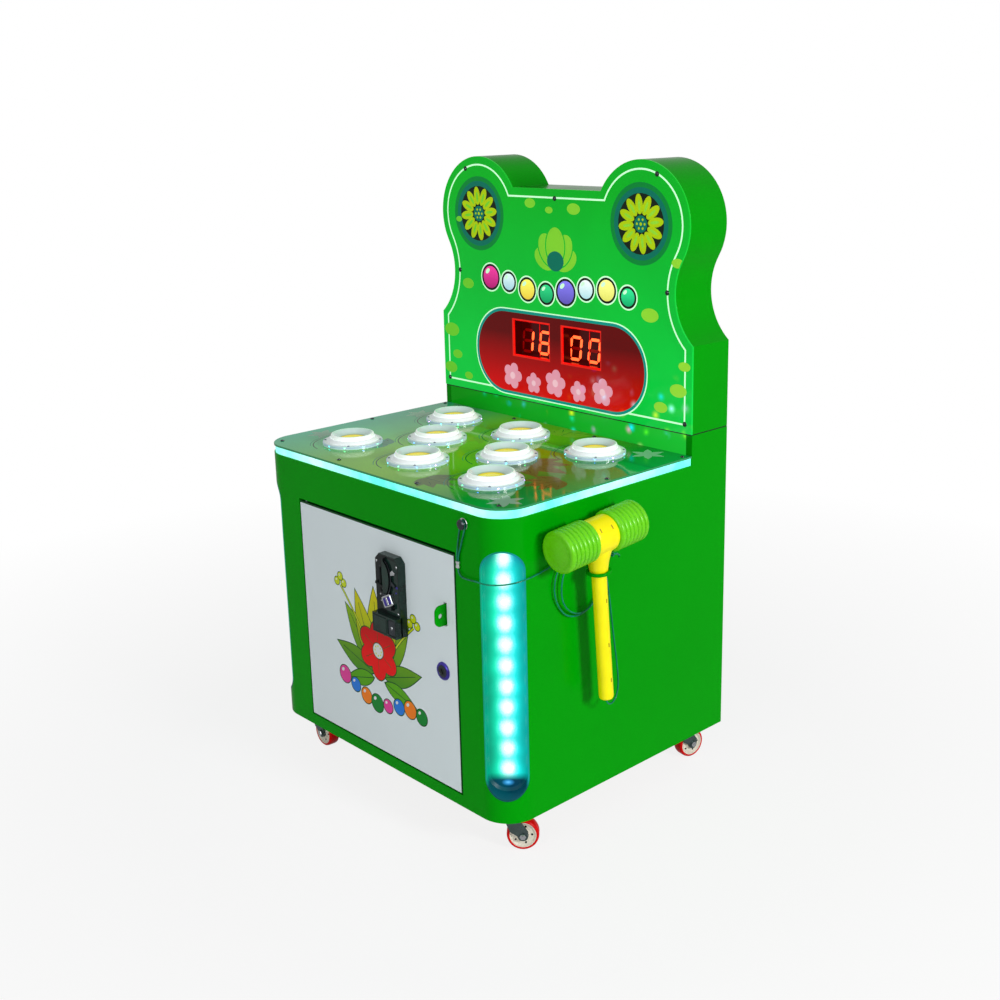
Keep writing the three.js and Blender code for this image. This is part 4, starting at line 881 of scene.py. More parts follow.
# Turned profiles of a mole and what surrounds it, above the cover's top face
FLANGE = ((39.2, -3), (49.9, -3), (50, 2.2), (49.3, 2.6), (49.3, 3.2), (50, 3.6), (50, 4.6),
          (49.4, 5.3), (48.4, 5.5), (44.4, 5.5), (43.2, 5.6), (42.4, 5.9), (39.2, 5.6))
COLLAR = ((36.6, 5.0), (42.2, 5.4), (42.6, 6.2), (40.6, 9.2), (39.8, 10.5), (38.8, 11), (37.4, 11),
          (36.6, 10.4))
DOME = ((0.5, 8.2), (12, 8.3), (19.6, 8.5), (20.8, 8.9), (22.0, 8.7), (24.6, 9.6), (28.2, 12.2),
        (31.6, 16.2), (32.6, 17.2), (33.6, 17.5), (35, 17), (35.8, 16), (36, 14.6), (36, -15.8),
        (38.9, -15.8), (38.9, -20.8), (33, -20.8), (33, 8.4), (25, 5.4), (6, 5.4), (6, -20.8),
        (0.5, -20.8))
LAMP_BEAD = ((1.1, 2.15), (1.1, 2.9), (0.6, 3.4), (0.1, 3.5))


def make_moles():
    clear = ((36, (0.50, 0.78, 0.62)), (39.6, (0.62, 0.84, 0.72)), (41, (0.86, 0.94, 0.92)),
             (44, (0.78, 0.90, 0.86)), (48.3, (0.62, 0.82, 0.74)), (49.2, (0.42, 0.48, 0.78)),
             (50.2, (0.56, 0.80, 0.72)))
    flange = ringed("flange_clear", clear, 36, 51, rough=0.1, vary=0.06, patch=60.0, specular=0.35,
                    coat=0.25, glow=0.16)
    # The mole's top out from its middle: the yellow disc, then painted shade darkening its edge,
    # the crease round it and the dish's inner slope, below the pale rim.
    dish_colours_and_shade = ((0, (0.98, 0.86, 0.0)), (17.5, (0.96, 0.78, 0.0)), (20.4, (0.72, 0.50, 0.0)),
            (21.4, (0.14, 0.20, 0.03)), (22.6, (0.36, 0.50, 0.30)), (25, (0.46, 0.60, 0.56)),
            (30, (0.50, 0.62, 0.62)), (32.2, (0.46, 0.68, 0.58)), (33.4, (0.60, 0.86, 0.74)),
            (34.6, (0.90, 0.98, 0.94)), (36, (0.92, 0.98, 0.95)))
    lit = ringed("mole_lit", dish_colours_and_shade, 0, 37, rough=0.14, vary=0.05, patch=50.0, specular=0.35,
                 coat=0.2, glow=0.3)
    slope = surface("mole_slope", (0.88, 0.93, 0.95), rough=0.2, vary=0.04, patch=60.0,
                    specular=0.3, glow=0.16)
    bright = surface("flange_screw", (0.10, 0.14, 0.22), rough=0.2, metal=0.6, vary=0.3,
                     patch=200.0)
    tints = (("cyan", (0.05, 0.75, 0.95)), ("green", (0.10, 0.95, 0.25)),
             ("blue", (0.06, 0.22, 1.0)), ("violet", (0.55, 0.25, 1.0)))
    lamps = [surface("mole_lamp_" + name, colour, rough=0.3, vary=0.02, glow=14.0)
             for name, colour in tints]
    for number, (x, y) in enumerate(MOLES, 1):
        seat = CABINET @ shift(x * MM, y * MM, COVER_TOP * MM)
        collar = Form(flange, bright, BLACK, slope, *lamps)
        collar.lathe(FLANGE, 0, steps=72, loop=True)
        collar.lathe(COLLAR, 3, steps=72, loop=True)
        add_screws(collar, turned_points(circle(0, 0, 46.2, 4), 45), 5.3, 2.1, FACING_UP, 1, 2, 1.1)
        for i, spot in enumerate(turned_points(circle(0, 0, 48.75, 10), 9 + 11 * number)):
            collar.lathe(LAMP_BEAD, 4 + (i + number) % len(lamps), shift(*spot), 10)
        collar.build(f"flange_{number}", "cabinet", "clear_acrylic", at=seat)
        dome = Form(lit)
        dome.lathe(DOME, 0, steps=64)
        dome.build(f"mole_{number}_dome", f"mole_{number}_body", "mole_plastic",
                   (f"mole_{number}",), at=seat)


def make_glow_strip():
    outer, inner = cabinet_plan(2, RISER - 0.3), cabinet_plan(8, RISER - 0.3)
    rings = [[(x, y, SIDE_TOP), (x, y, COVER_BOTTOM), (u, v, COVER_BOTTOM), (u, v, SIDE_TOP)]
             for (x, y), (u, v) in zip(outer[-1:] + outer[:-1], inner[-1:] + inner[:-1])]
    Form(GLOW).rings(rings).build("glow_strip_lit", "cabinet", "glow_plastic", ("glow_strip",))


make_cabinet_skin()
make_seam_gasket()
make_playfield()
make_moles()
make_glow_strip()


# Score sign: printed face, painted rim and back, two windows
def blossom(x, y, radius, petals, ink, heart, turn=0, fat=0.9):
    width = 2 * pi * radius * 0.6 / petals * fat
    rays = [(petal(x, y, radius * 0.16, radius, width, turn + 360 * i / petals), ink)
            for i in range(petals)]
    return [*rays, (circle(x, y, radius * 0.27, 24), heart)]


def make_sign():
    inks, lower_right = Inks("sign_", glow=0.55), (20, 310, 610, 690)
    base = inks.add("base", (0.0, 0.46, 0.040), ((0.0, 0.34, 0.012), "Z", 640, 960), 0.7,
                    lower_right)
    white = inks.add("line", (0.50, 0.85, 0.55), glow=0.75)
    shade = inks.add("shade", (0.0, 0.20, 0.03))
    teal = inks.add("teal", (0.0, 0.14, 0.09))
    dark = inks.add("dark", (0.008, 0.02, 0.008), glow=0.05)
    lime = inks.add("lime", (0.36, 0.52, 0.0))
    pale = inks.add("pale", (0.12, 0.52, 0.02), ((0.26, 0.60, 0.03), "X", -300, 300))
    red = inks.add("window", (0.62, 0.0, 0.0), ((0.11, 0.0, 0.0), "Z", 612, 712), 0.5, lower_right)
    border = inks.add("border", (0.0, 0.25, 0.20))
    pink = inks.add("pink", (0.74, 0.30, 0.40), spots=lower_right)
    rose = inks.add("rose", (0.85, 0.50, 0.58))
    # The red frame round each window, and the windows' walls: a red print whose stronger glow is
    # painted light from the digits.
    window_frame_painted_glow = inks.add("frame", (0.55, 0.01, 0.005), glow=0.9)
    art = [(sign_outline(13, SEAM + 13), white), (sign_outline(16, SEAM + 16), base)]
    for side in (-1, 1):
        x, z = side * LOBE_X, LOBE_Z
        art += [(circle(x, z, 65, 60), shade), (circle(x, z, 57, 60), teal),
                (circle(x, z, 48, 60), dark)]
        for turn in range(7, 367, 30):
            art += [(petal(x, z, 15, 47.5, 15.5, turn), lime),
                    (petal(x, z, 20, 38, 5.0, turn), pale)]
        art.append((circle(x, z, 13.5, 36), teal))
        art += [(circle(*seed, 2.0, 12), lime) for seed in circle(x, z, 8, 6)]
        art.append((circle(x, z, 2.6, 14), lime))
    fan = (0, 836)
    for turn, size in ((25, 54), (155, 54), (58, 62), (122, 62), (90, 66)):
        art += [(petal(*fan, 0, size + 2, size * 0.74, turn, 26), base),
                (petal(*fan, 2, size, size * 0.66, turn, 26), pale)]
    art.append((petal(*fan, -8, 26, 40, 90, 26), teal))
    dots = ((-276, 700, 20), (-262, 655, 13), (-282, 628, 17), (272, 660, 17), (284, 700, 12),
            (-60, 940, 13), (-14, 930, 9), (44, 934, 15), (268, 860, 12), (-226, 790, 15),
            (212, 774, 18), (-246, 905, 8), (236, 628, 14), (-232, 618, 11))
    art += [(circle(x, z, size, 30, size * 0.62), pale) for x, z, size in dots]
    art += [(rectangle(-208, 208, 598, 755, 76, 14), white),
            (rectangle(-206, 206, 600, 753, 75, 14), border),
            (rectangle(-201, 201, 605, 748, 70, 14), red)]
    blooms = ((-112, 634, 24, 0), (-58, 627, 19, 20), (-4, 634, 25, 8), (52, 627, 19, 30),
              (108, 634, 24, 14))
    for x, z, size, turn in blooms:
        art += blossom(x, z, size, 5, pink, rose, turn, 1.1)
    beads = ((21, (0.42, 0.01, 0.16)), (16, (0.35, 0.62, 0.75)), (19, (0.80, 0.55, 0.05)),
             (17, (0.0, 0.30, 0.10)), (21, (0.10, 0.08, 0.42)), (17, (0.40, 0.70, 0.78)),
             (19, (0.70, 0.68, 0.12)), (16, (0.0, 0.34, 0.12)))
    for i, (size, colour) in enumerate(beads):
        x, z = -164 + i * 47, 797 + 9 * cos(i * 1.1)
        lighter = tuple(min(c * 2.2 + 0.03, 1) for c in colour)
        fill = inks.add(f"bead_{i + 1}", colour, (lighter, "Z", z - size, z + size))
        art += [(circle(x, z, size + 5, 32), white), (circle(x, z, size + 2.5, 32), dark),
                (circle(x, z, size - 1.5, 32), fill),
                (petal(x, z, size * 0.45, size * 0.8, size * 0.6, 128), white)]
    holes = []
    for left, right in WINDOWS:
        low, high = WINDOW_Z
        art.append((rectangle(left - 2.2, right + 2.2, low - 2.2, high + 2.2), window_frame_painted_glow))
        holes.append(rectangle(left, right, low, high))
    face = Form(*inks)
    face.plate(sign_outline(0, SEAM), -SIGN_RIM, -SIGN_FRONT, art, holes, 0.5, base, base,
               FACING_FRONT, window_frame_painted_glow)
    face.build("sign_face", "cabinet", "sign_print", ("sign_front",), soften=20)

    rim = Form(GREEN)
    outer, inner = sign_outline(0, SEAM), sign_outline(12, SEAM + 12)
    rings = [[(x, SIGN_RIM, z) for x, z in outer], [(x, BACK, z) for x, z in outer],
             [(x, BACK, z) for x, z in inner], [(x, SIGN_RIM, z) for x, z in inner]]
    rim.rings(rings, loop=True)
    rim.build("sign_rim_painted", "cabinet", "green_paint", ("sign_rim",), soften=30, bevel=0.5)
    back = Form(GREEN)
    back.prism([(-x, z) for x, z in reversed(sign_outline(12.3, SEAM + 12.3))], BACK - 6, BACK,
               place=FACING_BACK)
    back.build("sign_back_board", "cabinet", "green_paint", ("sign_back",), bevel=0.4)

    heads = Form(DARK_CHROME, BLACK)
    spots = ((-225, 994.5), (225, 994.5), (0, 949.5), (-247.5, 813), (247.5, 813), (-286, 608),
             (286, 608))
    add_screws(heads, spots, -SIGN_FRONT, 3.0, FACING_FRONT, washer=4.2)
    heads.build("sign_screws", "cabinet", "chrome")


SEGMENTS = {"top": (0, 1, 1), "middle": (0, 0, 1), "foot": (0, -1, 1),
            "upper_left": (-1, 0.5, 0), "upper_right": (1, 0.5, 0),
            "lower_left": (-1, -0.5, 0), "lower_right": (1, -0.5, 0)}
DIGITS = {"1": ("upper_right", "lower_right"), "8": tuple(SEGMENTS),
          "0": tuple(name for name in SEGMENTS if name != "middle")}


def make_displays():
    half_width, half_height, thick, lean = 11.8, 19.2, 5.0, 0.12
    middle = 696.0
    for side, (left, right) in zip(("left", "right"), WINDOWS):
        low, high = WINDOW_Z
        case = Form(CASE_RED_PAINTED_GLOW, CASE_EDGE_PAINTED_GLOW)
        walls = ((3, SIGN_RIM + 26), (3, SIGN_RIM), (0, SIGN_RIM), (0, DIGIT_Y))
        case.rings([[(x, y, z) for x, z in rectangle(left - k, right + k, low - k, high + k)]
                    for k, y in walls])
        case.box((left + 44.4, low, -DIGIT_Y), (left + 45.4, high, -DIGIT_Y + 1.2), 1, FACING_FRONT)
        section = [(k, w - SIGN_RIM) for k, w in ((0, -0.4), (0, 0.5), (1.6, 0.5), (1.6, -0.4))]
        case.moulding(lambda k: rectangle(left + k, right - k, low + k, high - k), section, 1,
                      FACING_FRONT)
        case.build(f"display_{side}_case", "cabinet", "display_plastic", (f"display_{side}",),
                   soften=20, bevel=0.3)
    digits = Form(LIT_DIGIT, DIM_DIGIT_PAINTED_GLOW)
    for at, figure in ((-94, "1"), (-51.5, "8"), (25, "0"), (68.5, "0")):
        for name, (across, rise, flat) in SEGMENTS.items():
            reach = (half_width if flat else half_height / 2) - 1.4
            bar = [(-reach, 0), (-reach + thick / 2, -thick / 2), (reach - thick / 2, -thick / 2),
                   (reach, 0), (reach - thick / 2, thick / 2), (-reach + thick / 2, thick / 2)]
            if not flat:
                bar = turned_points(bar, 90)
            x, z = across * half_width, rise * half_height
            points = [(at + x + u + (z + v) * lean, middle + z + v) for u, v in bar]
            lit = name in DIGITS[figure]
            mark, proud = (0, 0.7) if lit else (1, 0.35)
            digits.prism(points, -DIGIT_Y, -DIGIT_Y + proud, mark, FACING_FRONT, 0.15)
    digits.build("display_digits", "cabinet", "display_plastic", soften=20)


make_sign()
make_displays()


# Corner lights
def make_corner_lights():
    foot = LED_TOP - (LED_COUNT - 1) * LED_PITCH
    for side, name in ((-1, "left"), (1, "right")):
        place = corner_place(side)
        tray = Form().prism(stadium(0.3, 28), TRAY_FLOOR - 2, CORNER_RADIUS, 0, place, foot=1.0)
        tray = tray.build(f"trough_{name}", None)
        hollow = Form().prism(stadium(2.3, 28), TRAY_FLOOR, CORNER_RADIUS + 4, 0, place, foot=4.0)
        combine(tray, [hollow.cutter()])
        plan = Form().prism(cabinet_plan(0, SHELL_BACK + 52, 40), UNDERSIDE, SIDE_TOP)
        combine(tray, [plan.cutter()], "INTERSECT")
        repaint(tray, TROUGH, 32)
        settle(tray, "cabinet", (f"light_tray_{name}",))
        strip = Form(STRIP_LIT, LAMP)
        top = TRAY_FLOOR + 2.3
        strip.box((-7, foot - 7, TRAY_FLOOR + 0.3), (7, LED_TOP + 7, top), 0, place, 0.4, 1)
        for i in range(LED_COUNT):
            z = LED_TOP - i * LED_PITCH
            strip.box((-2.6, z - 2.6, top), (2.6, z + 2.6, TRAY_FLOOR + 3.2), 0, place, 0.2)
            strip.lathe([(4, 0), (3.8, 0.9), (3.2, 1.7), (2, 2.3), (0.3, 2.5)], 1,
                        place @ shift(0, z, top), 28)
        strip.build(f"lamp_strip_{name}", "cabinet", "led_board", (f"led_strip_{name}",))


# Coin door with its printed leaves, coin acceptor, lock and staple
def grown_leaf(x, y, length, width, turn, by):
    start = turned_points([(by * 1.8, 0)], turn, (x, y))[0]
    return leaf(*start, length - by * 4.2, width - by * 2, turn, 16)


def make_door():
    left, right, low, high = DOOR
    inks = Inks("door_", [DOOR_WHITE])
    line = inks.add("outline", (0.0, 0.075, 0.01))
    pale_leaf = inks.add("leaf", (0.10, 0.42, 0.0), ((0.86, 0.72, 0.0), "Z", 215, 385))
    dark_leaf = inks.add("leaf_dark", (0.0, 0.23, 0.01), ((0.34, 0.58, 0.0), "Z", 180, 360))
    lime = inks.add("lime", (0.66, 0.80, 0.02))
    red = inks.add("red", (0.96, 0.0, 0.0), ((0.60, 0.0, 0.0), "Z", 250, 300))
    white = inks.add("white", (0.80, 0.84, 0.85))
    tints = (("pink", (0.84, 0.06, 0.36)), ("blue", (0.02, 0.22, 0.80)),
             ("orange", (1.0, 0.24, 0.01)), ("green", (0.0, 0.26, 0.03)))
    bead_inks = [inks.add(name, colour) for name, colour in tints]
    # Painted shadow of the door's gap: a band of the dark outline ink round the door's edge, wider
    # at the top and the right, with the white field inside it.
    art = [(rectangle(left, right, low, high), line),
           (rectangle(left + 1.1, right - 1.9, low + 1.1, high - 2.4), 0)]

    def add_disc(x, z, radius, rim, fill, steps):
        art.extend([(circle(x, z, radius + rim, steps), line), (circle(x, z, radius, steps), fill)])

    leaves = ((-4, 226, 128, 44, 128, dark_leaf), (10, 226, 134, 44, 55, dark_leaf),
              (-8, 222, 108, 40, 164, dark_leaf), (14, 222, 104, 38, 18, dark_leaf),
              (2, 224, 150, 52, 92, pale_leaf), (-6, 226, 140, 48, 110, pale_leaf),
              (8, 226, 138, 48, 74, pale_leaf), (-10, 214, 84, 30, 196, pale_leaf),
              (14, 214, 88, 30, -14, pale_leaf))
    for x, z, length, width, turn, fill in leaves:
        tip = turned_points([(length * 0.82, 0)], turn, (x, z))[0]
        art += [(leaf(x, z, length, width, turn, 16), line),
                (grown_leaf(x, z, length, width, turn, 1.6), fill),
                (band([(x, z), tip], 1.2), line)]
    for x, z, bend, top in ((-22, 250, -70, 352), (30, 250, 66, 330)):
        stalk = [(x + bend * (i / 8) ** 1.4, z + (top - z) * i / 8) for i in range(9)]
        art += [(band(stalk, 5), line), (band(stalk, 2.8), lime)]
        for dx, dz in ((-9, 5), (9, 5), (0, 15)):
            add_disc(x + bend + dx, top + dz, 6.6, 1.4, lime, 26)
            art.append((circle(x + bend + dx - 2, top + dz + 2, 1.8, 12), white))
    flower, turns = (2, 264), range(30, 390, 60)
    art += [(petal(*flower, 4, 52, 40, turn, 22), line) for turn in turns]
    for turn in turns:
        art += [(petal(*flower, 5.5, 50, 36.5, turn, 22), red),
                (band(turned_points([(16, 0), (38, 0)], turn, flower), 0.9), line)]
    add_disc(*flower, 12.8, 1.7, white, 36)
    art += [(circle(*seed, 1.7, 12), lime) for seed in circle(*flower, 8.2, 8)]
    for i, size in enumerate((15, 12, 13.5, 15, 11.5, 13, 14.5, 13)):
        x, z = -92 + 28.5 * i, 186 + 11 * cos(i * 0.9 + 0.6) - 1.5 * i
        add_disc(x, z, size, 1.8, bead_inks[i % 4], 32)
        art.append((petal(x, z, size * 0.42, size * 0.8, size * 0.55, 130), white))
    holes = [rectangle(29.7, 76.3, 318.7, 434.3), circle(*LOCK, 10.3, 32),
             rectangle(170.7, 177.3, 356.2, 392.8)]
    door = Form(*inks)
    # The door's outer edges take the dark outline ink too, as painted shade in its gap.
    door.plate(rectangle(left, right, low, high), -FRONT - 15, -FRONT, art, holes, 0.9, 0, line,
               FACING_FRONT, 0)
    door.build("door_printed", "door", "white_door", ("door_panel",), soften=20)
    dress("door_hinge_rod", ZINC, 0.3)


def make_acceptor():
    unit = Form(BLACK, CHROME, SMOKE, CHROME_PAINTED_PURPLE_REFLECTION, DARK_CHROME, place=FACING_FRONT)
    left, right, low, high = ACCEPTOR
    back, front = -FRONT, -FRONT + 14
    coin_slot, window = rectangle(40, 44, 383, 417, 1.9), rectangle(47.4, 68.6, 355.4, 380.6, 1)
    cup, button = rectangle(27, 59, 316, 342), rectangle(62, 80, 316, 342, 2)
    face = [(left, low), (right, low), (right, high - 9), (right - 9, high), (left + 9, high),
            (left, high - 9)]
    unit.plate(face, back, front, [(rectangle(50, 80, 347, 436, 3), 2)], [coin_slot, window, cup],
               1.2, 0, 2)
    rear = back - 60
    unit.box((30, 342.5, rear), (76, 434, back), edge=1.0)
    unit.box((59.5, 319, rear), (76, 343.5, back))
    unit.box((30, 319, rear), (60.5, 343.5, front - 25))
    unit.box((39, 382, front - 13), (45, 418, front - 12))
    unit.box((47, 355, front - 4), (69, 381, front - 3.3))
    section = ((0, -0.4), (0, 1.6), (1.2, 2.8), (2.4, 2.8), (3.4, 1.2), (3.4, -0.4))
    section = [(inset, front + height) for inset, height in section]
    unit.moulding(lambda k: rectangle(36 + k, 48 - k, 378 + k, 423 - k, 5.5 - k), section)

    guide = [(48.5, 436)] + arc(47, 404, 19, 75, -75, 18, 30) + [(48.5, 372)]
    inner = [(48.5, 433)] + arc(45.5, 404, 16, 72, -72, 18, 27) + [(48.5, 375)]
    reliefs = ((inner, -0.2, 4.6, 2, 1.6), (guide + inner[::-1], -0.3, 3.0, 4, 0.5),
               ([(66, 411), (75, 414), (76.5, 418), (70, 421), (65.5, 418)], -0.2, 3.4, 1, 0.8),
               ([(64, 396), (73, 393), (74.5, 397), (66, 402)], -0.2, 2.6, 4, 0.8),
               ([(27, 391), (57, 383.5), (58, 387.5), (28, 395)], 1.2, 4.4, 0, 0.9))
    for outline, near, far, mark, edge in reliefs:
        unit.prism(outline, front + near, front + far, mark, edge=edge)

    badge = FACING_FRONT @ shift(60, 370, front) @ rotate(27)
    section = ((0, -0.3), (0, 6.4), (0.8, 7), (2.2, 7), (2.6, 6.2), (2.6, -0.3))
    unit.moulding(lambda k: rectangle(k - 12, 12 - k, k - 9, 9 - k, 2), section, 1, badge)
    unit.box((-9.2, -6.2, -0.2), (9.2, 6.2, 6.6), 3, badge, 0.6, 1)
    unit.box((-2, -6.0, 6.6), (2, 6.0, 7.2), 1, badge, 0.2)
    add_screws(unit, ((28.2, 318.5), (77.8, 427), (28.2, 427), (77.8, 351)), front, 2.2,
               FACING_FRONT, 1, 0, 1.1)
    for x, z, r in ((36, 374.5, 1.8), (37.5, 364, 1.5), (77, 394, 2.2), (75, 385, 1.5)):
        spot = FACING_FRONT @ shift(x, z, front)
        unit.lathe([(r, 0), (r * 0.8, 0.7), (0.2, 1)], 3 if x > 70 else 1, spot, 16)
    lower = rectangle(left, right, low, 345)
    unit.plate(lower, front - 4, front + 10, (), [cup, button], 1.0, 2, 2)
    unit.box((26, 315, front - 25), (60, 343, front - 23))
    unit.box((62.5, 316.5, front - 3), (79.5, 341.5, front + 8.6), 4, edge=0.6, radius=2)
    add_screws(unit, ((71, 329),), front + 8.6, 2.6, FACING_FRONT, 1, 0, 1.2)
    unit.build("acceptor_unit", "door", "black_plastic", ("coin_acceptor",), soften=30)
    dress("coin_reject_button", DARK_CHROME, 0.8)
    dress("coin_return_flap", SMOKE, 0.4)


def make_lock():
    spot = FACING_FRONT @ shift(*LOCK, -FRONT)
    lock = Form(CHROME, CHROME_PAINTED_PURPLE_REFLECTION, DARK_CHROME, BLACK)
    bezel = ((10, -17), (10, -0.2), (14.5, -0.2), (14.5, 0.8), (13.6, 2.2), (12.2, 3), (10.6, 3),
             (10.2, 2.4))
    plug = ((9.8, 0), (9.8, 2.7), (9.0, 3), (7.4, 3), (7.0, 2.6), (6.6, 2.6), (6.4, 2.9),
            (0.3, 2.9))
    lock.lathe(bezel, 1, spot, 48)
    lock.lathe(plug, 2, spot, 48)
    lock.lathe([(5.6, 2.6), (5.6, 3.0), (0.2, 3.0)], 3, spot, 32)
    lock.box((-0.9, -3.8, 2.6), (0.9, 3.8, 3.0), 0, spot @ rotate(degrees(0.5)))
    lock.lathe([(4, -21), (4, -16.8)], 0, spot, 20)
    lock.build("lock_face", "door", "chrome", ("lock_body",))
    dress("lock_cam", ZINC, 0.4)
    dress("padlock_staple", GREEN, 0.5)


make_corner_lights()
make_door()
make_acceptor()
make_lock()


# Tether: cord with an eye round the anchor screw, a crimped ferrule, and a long run to the mallet
CORD_DIAMETER = 2.5
CORD_Y, FERRULE_X, FERRULE_Z, ANCHOR_X, ANCHOR_Z = -252.65, 210.0, 462.0, 222.0, 525.5
LEAD = ((-89.2, -2.9, -9.5), (-86.6, -3.3, -13.2), (-82.2, -3.9, -15.8), (-75.5, -4.4, -16.7),
        (-64.5, -4.6, -16.5), (-51, -4.5, -15.4), (-29, -1.5, -15.6), (-11.5, 11.5, -15),
        (-1, 28, -13.4), (3, 50, -11.4))
HANK = ((3.4, -73, -41), (3.8, -45, -34), (4, -21, -27.5), (4, 1, -27), (4, 21, -36.5),
        (4, 35, -58), (4, 39, -82), (4, 33, -106), (4, 16, -124), (4, -8, -129.4), (4, -32, -122),
        (4.4, -49, -102), (5, -56.5, -78), (5.6, -53, -55), (6.6, -37, -34), (7.4, -16, -26.5),
        (7.8, 5, -27.5), (8, 23, -38), (8, 37, -60), (8, 40, -83), (8, 33, -105), (8, 16, -120),
        (8, -6, -125), (8, -28, -116), (8, -42, -98), (8, -45, -75), (8.6, -39, -51),
        (9.6, -26, -33), (11, -9, -24.5), (12.6, 9, -25.5), (15, 25, -36.5), (17.6, 34, -56),
        (19.4, 39, -81), (21, 42.5, -110), (22.5, 46, -146), (24.5, 49, -181), (27, 51.5, -213),
        (29.5, 52, -239), (31.5, 49.5, -257), (33.4, 42, -269.5), (34.8, 31.5, -274.5),
        (35.7, 23.3, -271.6), (36, 19.9, -266))


def smooth_path(points, steps):
    """Points evenly in parameter along the same curve that the solid cord follows."""
    spots = [Vector(p) for p in points]
    spots = [2 * spots[0] - spots[1]] + spots + [2 * spots[-1] - spots[-2]]
    spans, result = len(points) - 1, []
    for i in range(steps + 1):
        place = spans * i / steps
        span = min(int(place), spans - 1)
        t = place - span
        p0, p1, p2, p3 = spots[span:span + 4]
        d0, d1, d2 = (max((b - a).length, 1e-9) ** 0.5 for a, b in ((p0, p1), (p1, p2), (p2, p3)))
        m1 = ((p1 - p0) / d0 - (p2 - p0) / (d0 + d1) + (p2 - p1) / d1) * d1
        m2 = ((p2 - p1) / d1 - (p3 - p1) / (d1 + d2) + (p3 - p2) / d2) * d1
        square, cube = 3 * (p2 - p1) - 2 * m1 - m2, 2 * (p1 - p2) + m1 + m2
        result.append(p1 + m1 * t + square * t * t + cube * t ** 3)
    return result


def down_handle(length):
    """The place on the mallet's axis at a length below its head's middle."""
    return (LEAN @ Vector((0, 0, -length))) + Vector(HANG)


def make_tether():
    ring = FACING_FRONT @ shift(ANCHOR_X, ANCHOR_Z, -FRONT)
    anchor = Form(DARK_CHROME, CHROME)
    anchor.lathe([(9, 0), (9, 0.7), (8.6, 1.0), (4, 1.0)], 1, ring, 40)
    head = ((3.5, 0.9), (3.5, 4.3), (7.6, 4.3), (8, 4.8), (7.7, 6.2), (6.4, 7.4), (4.4, 8.1),
            (2, 8.3), (0.2, 8.3))
    anchor.lathe(head, 0, ring, 40)
    anchor.build("anchor_screw", "cabinet", "chrome", ("tether_anchor",))

    ferrule = Form(ALUMINIUM)
    outline = rectangle(FERRULE_X - 3.5, FERRULE_X + 3.5, CORD_Y - 2.2, FRONT - 0.3, 1.7, 6)
    waists = ((0, -0.5), (0.6, 0), (2.6, 0), (3.3, -0.55), (4.4, -0.6), (5.6, -0.6), (6.7, -0.55),
              (7.4, 0), (9.4, 0), (10, -0.5))
    ferrule.rings([[(x, y, FERRULE_Z - 5 + h) for x, y in grown(outline, by)] for h, by in waists])
    ferrule = ferrule.build("crimp_ferrule", "cabinet", "crimp_aluminium", ("tether_ferrule",))

    low, high, half, reach, lean = FERRULE_Z + 5.3, ANCHOR_Z, 1.5, 5.25, 12.0
    rise = high - low
    strand = ((FERRULE_X - half, low), (FERRULE_X - half, low + rise * 0.12),
              (FERRULE_X + lean * 0.3 - half * 1.4, low + rise * 0.5),
              (ANCHOR_X - reach, high - rise * 0.06), *arc(ANCHOR_X, high, reach, 157.5, 22.5, 6),
              (ANCHOR_X + reach, high - rise * 0.06),
              (FERRULE_X + lean * 0.5 + half * 2, low + rise * 0.5),
              (FERRULE_X + half, low + rise * 0.12), (FERRULE_X + half, low))
    points = [(x, CORD_Y, z) for x, z in strand]
    eye = Form(CORD_COVER)
    eye.tube(smooth_path(points, 130), CORD_DIAMETER / 2, sides=12, ribs=(3, 0.35, 0.12))
    eye.build("cord_eye", "cabinet", "cord_cover", ("tether_eye",), soften=60)

    route = [(FERRULE_X, CORD_Y, FERRULE_Z - 5.3)]
    route += [(HALF_WIDTH + x, FRONT + y, FERRULE_Z + z) for x, y, z in LEAD]
    route += [(HALF_WIDTH + x, HANG[1] + y, HANG[2] + z) for x, y, z in HANK]
    route.append(tuple(down_handle(262.3)))
    line = smooth_path(route, 900)
    cord = Form(CORD_COVER)
    cord.tube(line, CORD_DIAMETER / 2, sides=12, ribs=(3, 0.42, 0.12))
    cord = cord.build("tether", None, soften=60)
    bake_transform(cord)
    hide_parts("tether_cord")


# Mallet: yellow hollow T, a bellows on each end, hung in a ring on the side
HANDLE = ((20.4, 2), (20.9, -16), (20.6, -22), (19.4, -28), (17.4, -34), (15.6, -41), (14.5, -48),
          (13.9, -53.4), (12.6, -56.6), (11.5, -59), (11.2, -120), (11.3, -200), (11.5, -256),
          (11.2, -259.6), (9.6, -261.6), (7.4, -262), (0.3, -261.7))
RIB = ((29.3, 0), (30.9, 0.8), (31.7, 2.1), (32, 4.1), (31.7, 6.1), (30.9, 7.3), (29.3, 8.0))
BELLOWS_END = ((29.4, 72.4), (31.2, 72.9), (31.9, 74.2), (32, 76), (31.6, 78.2), (30.2, 80),
               (28, 80.9), (25.5, 81), (24.5, 80.6), (20, 80.7), (10, 80.9), (0.3, 80.9))


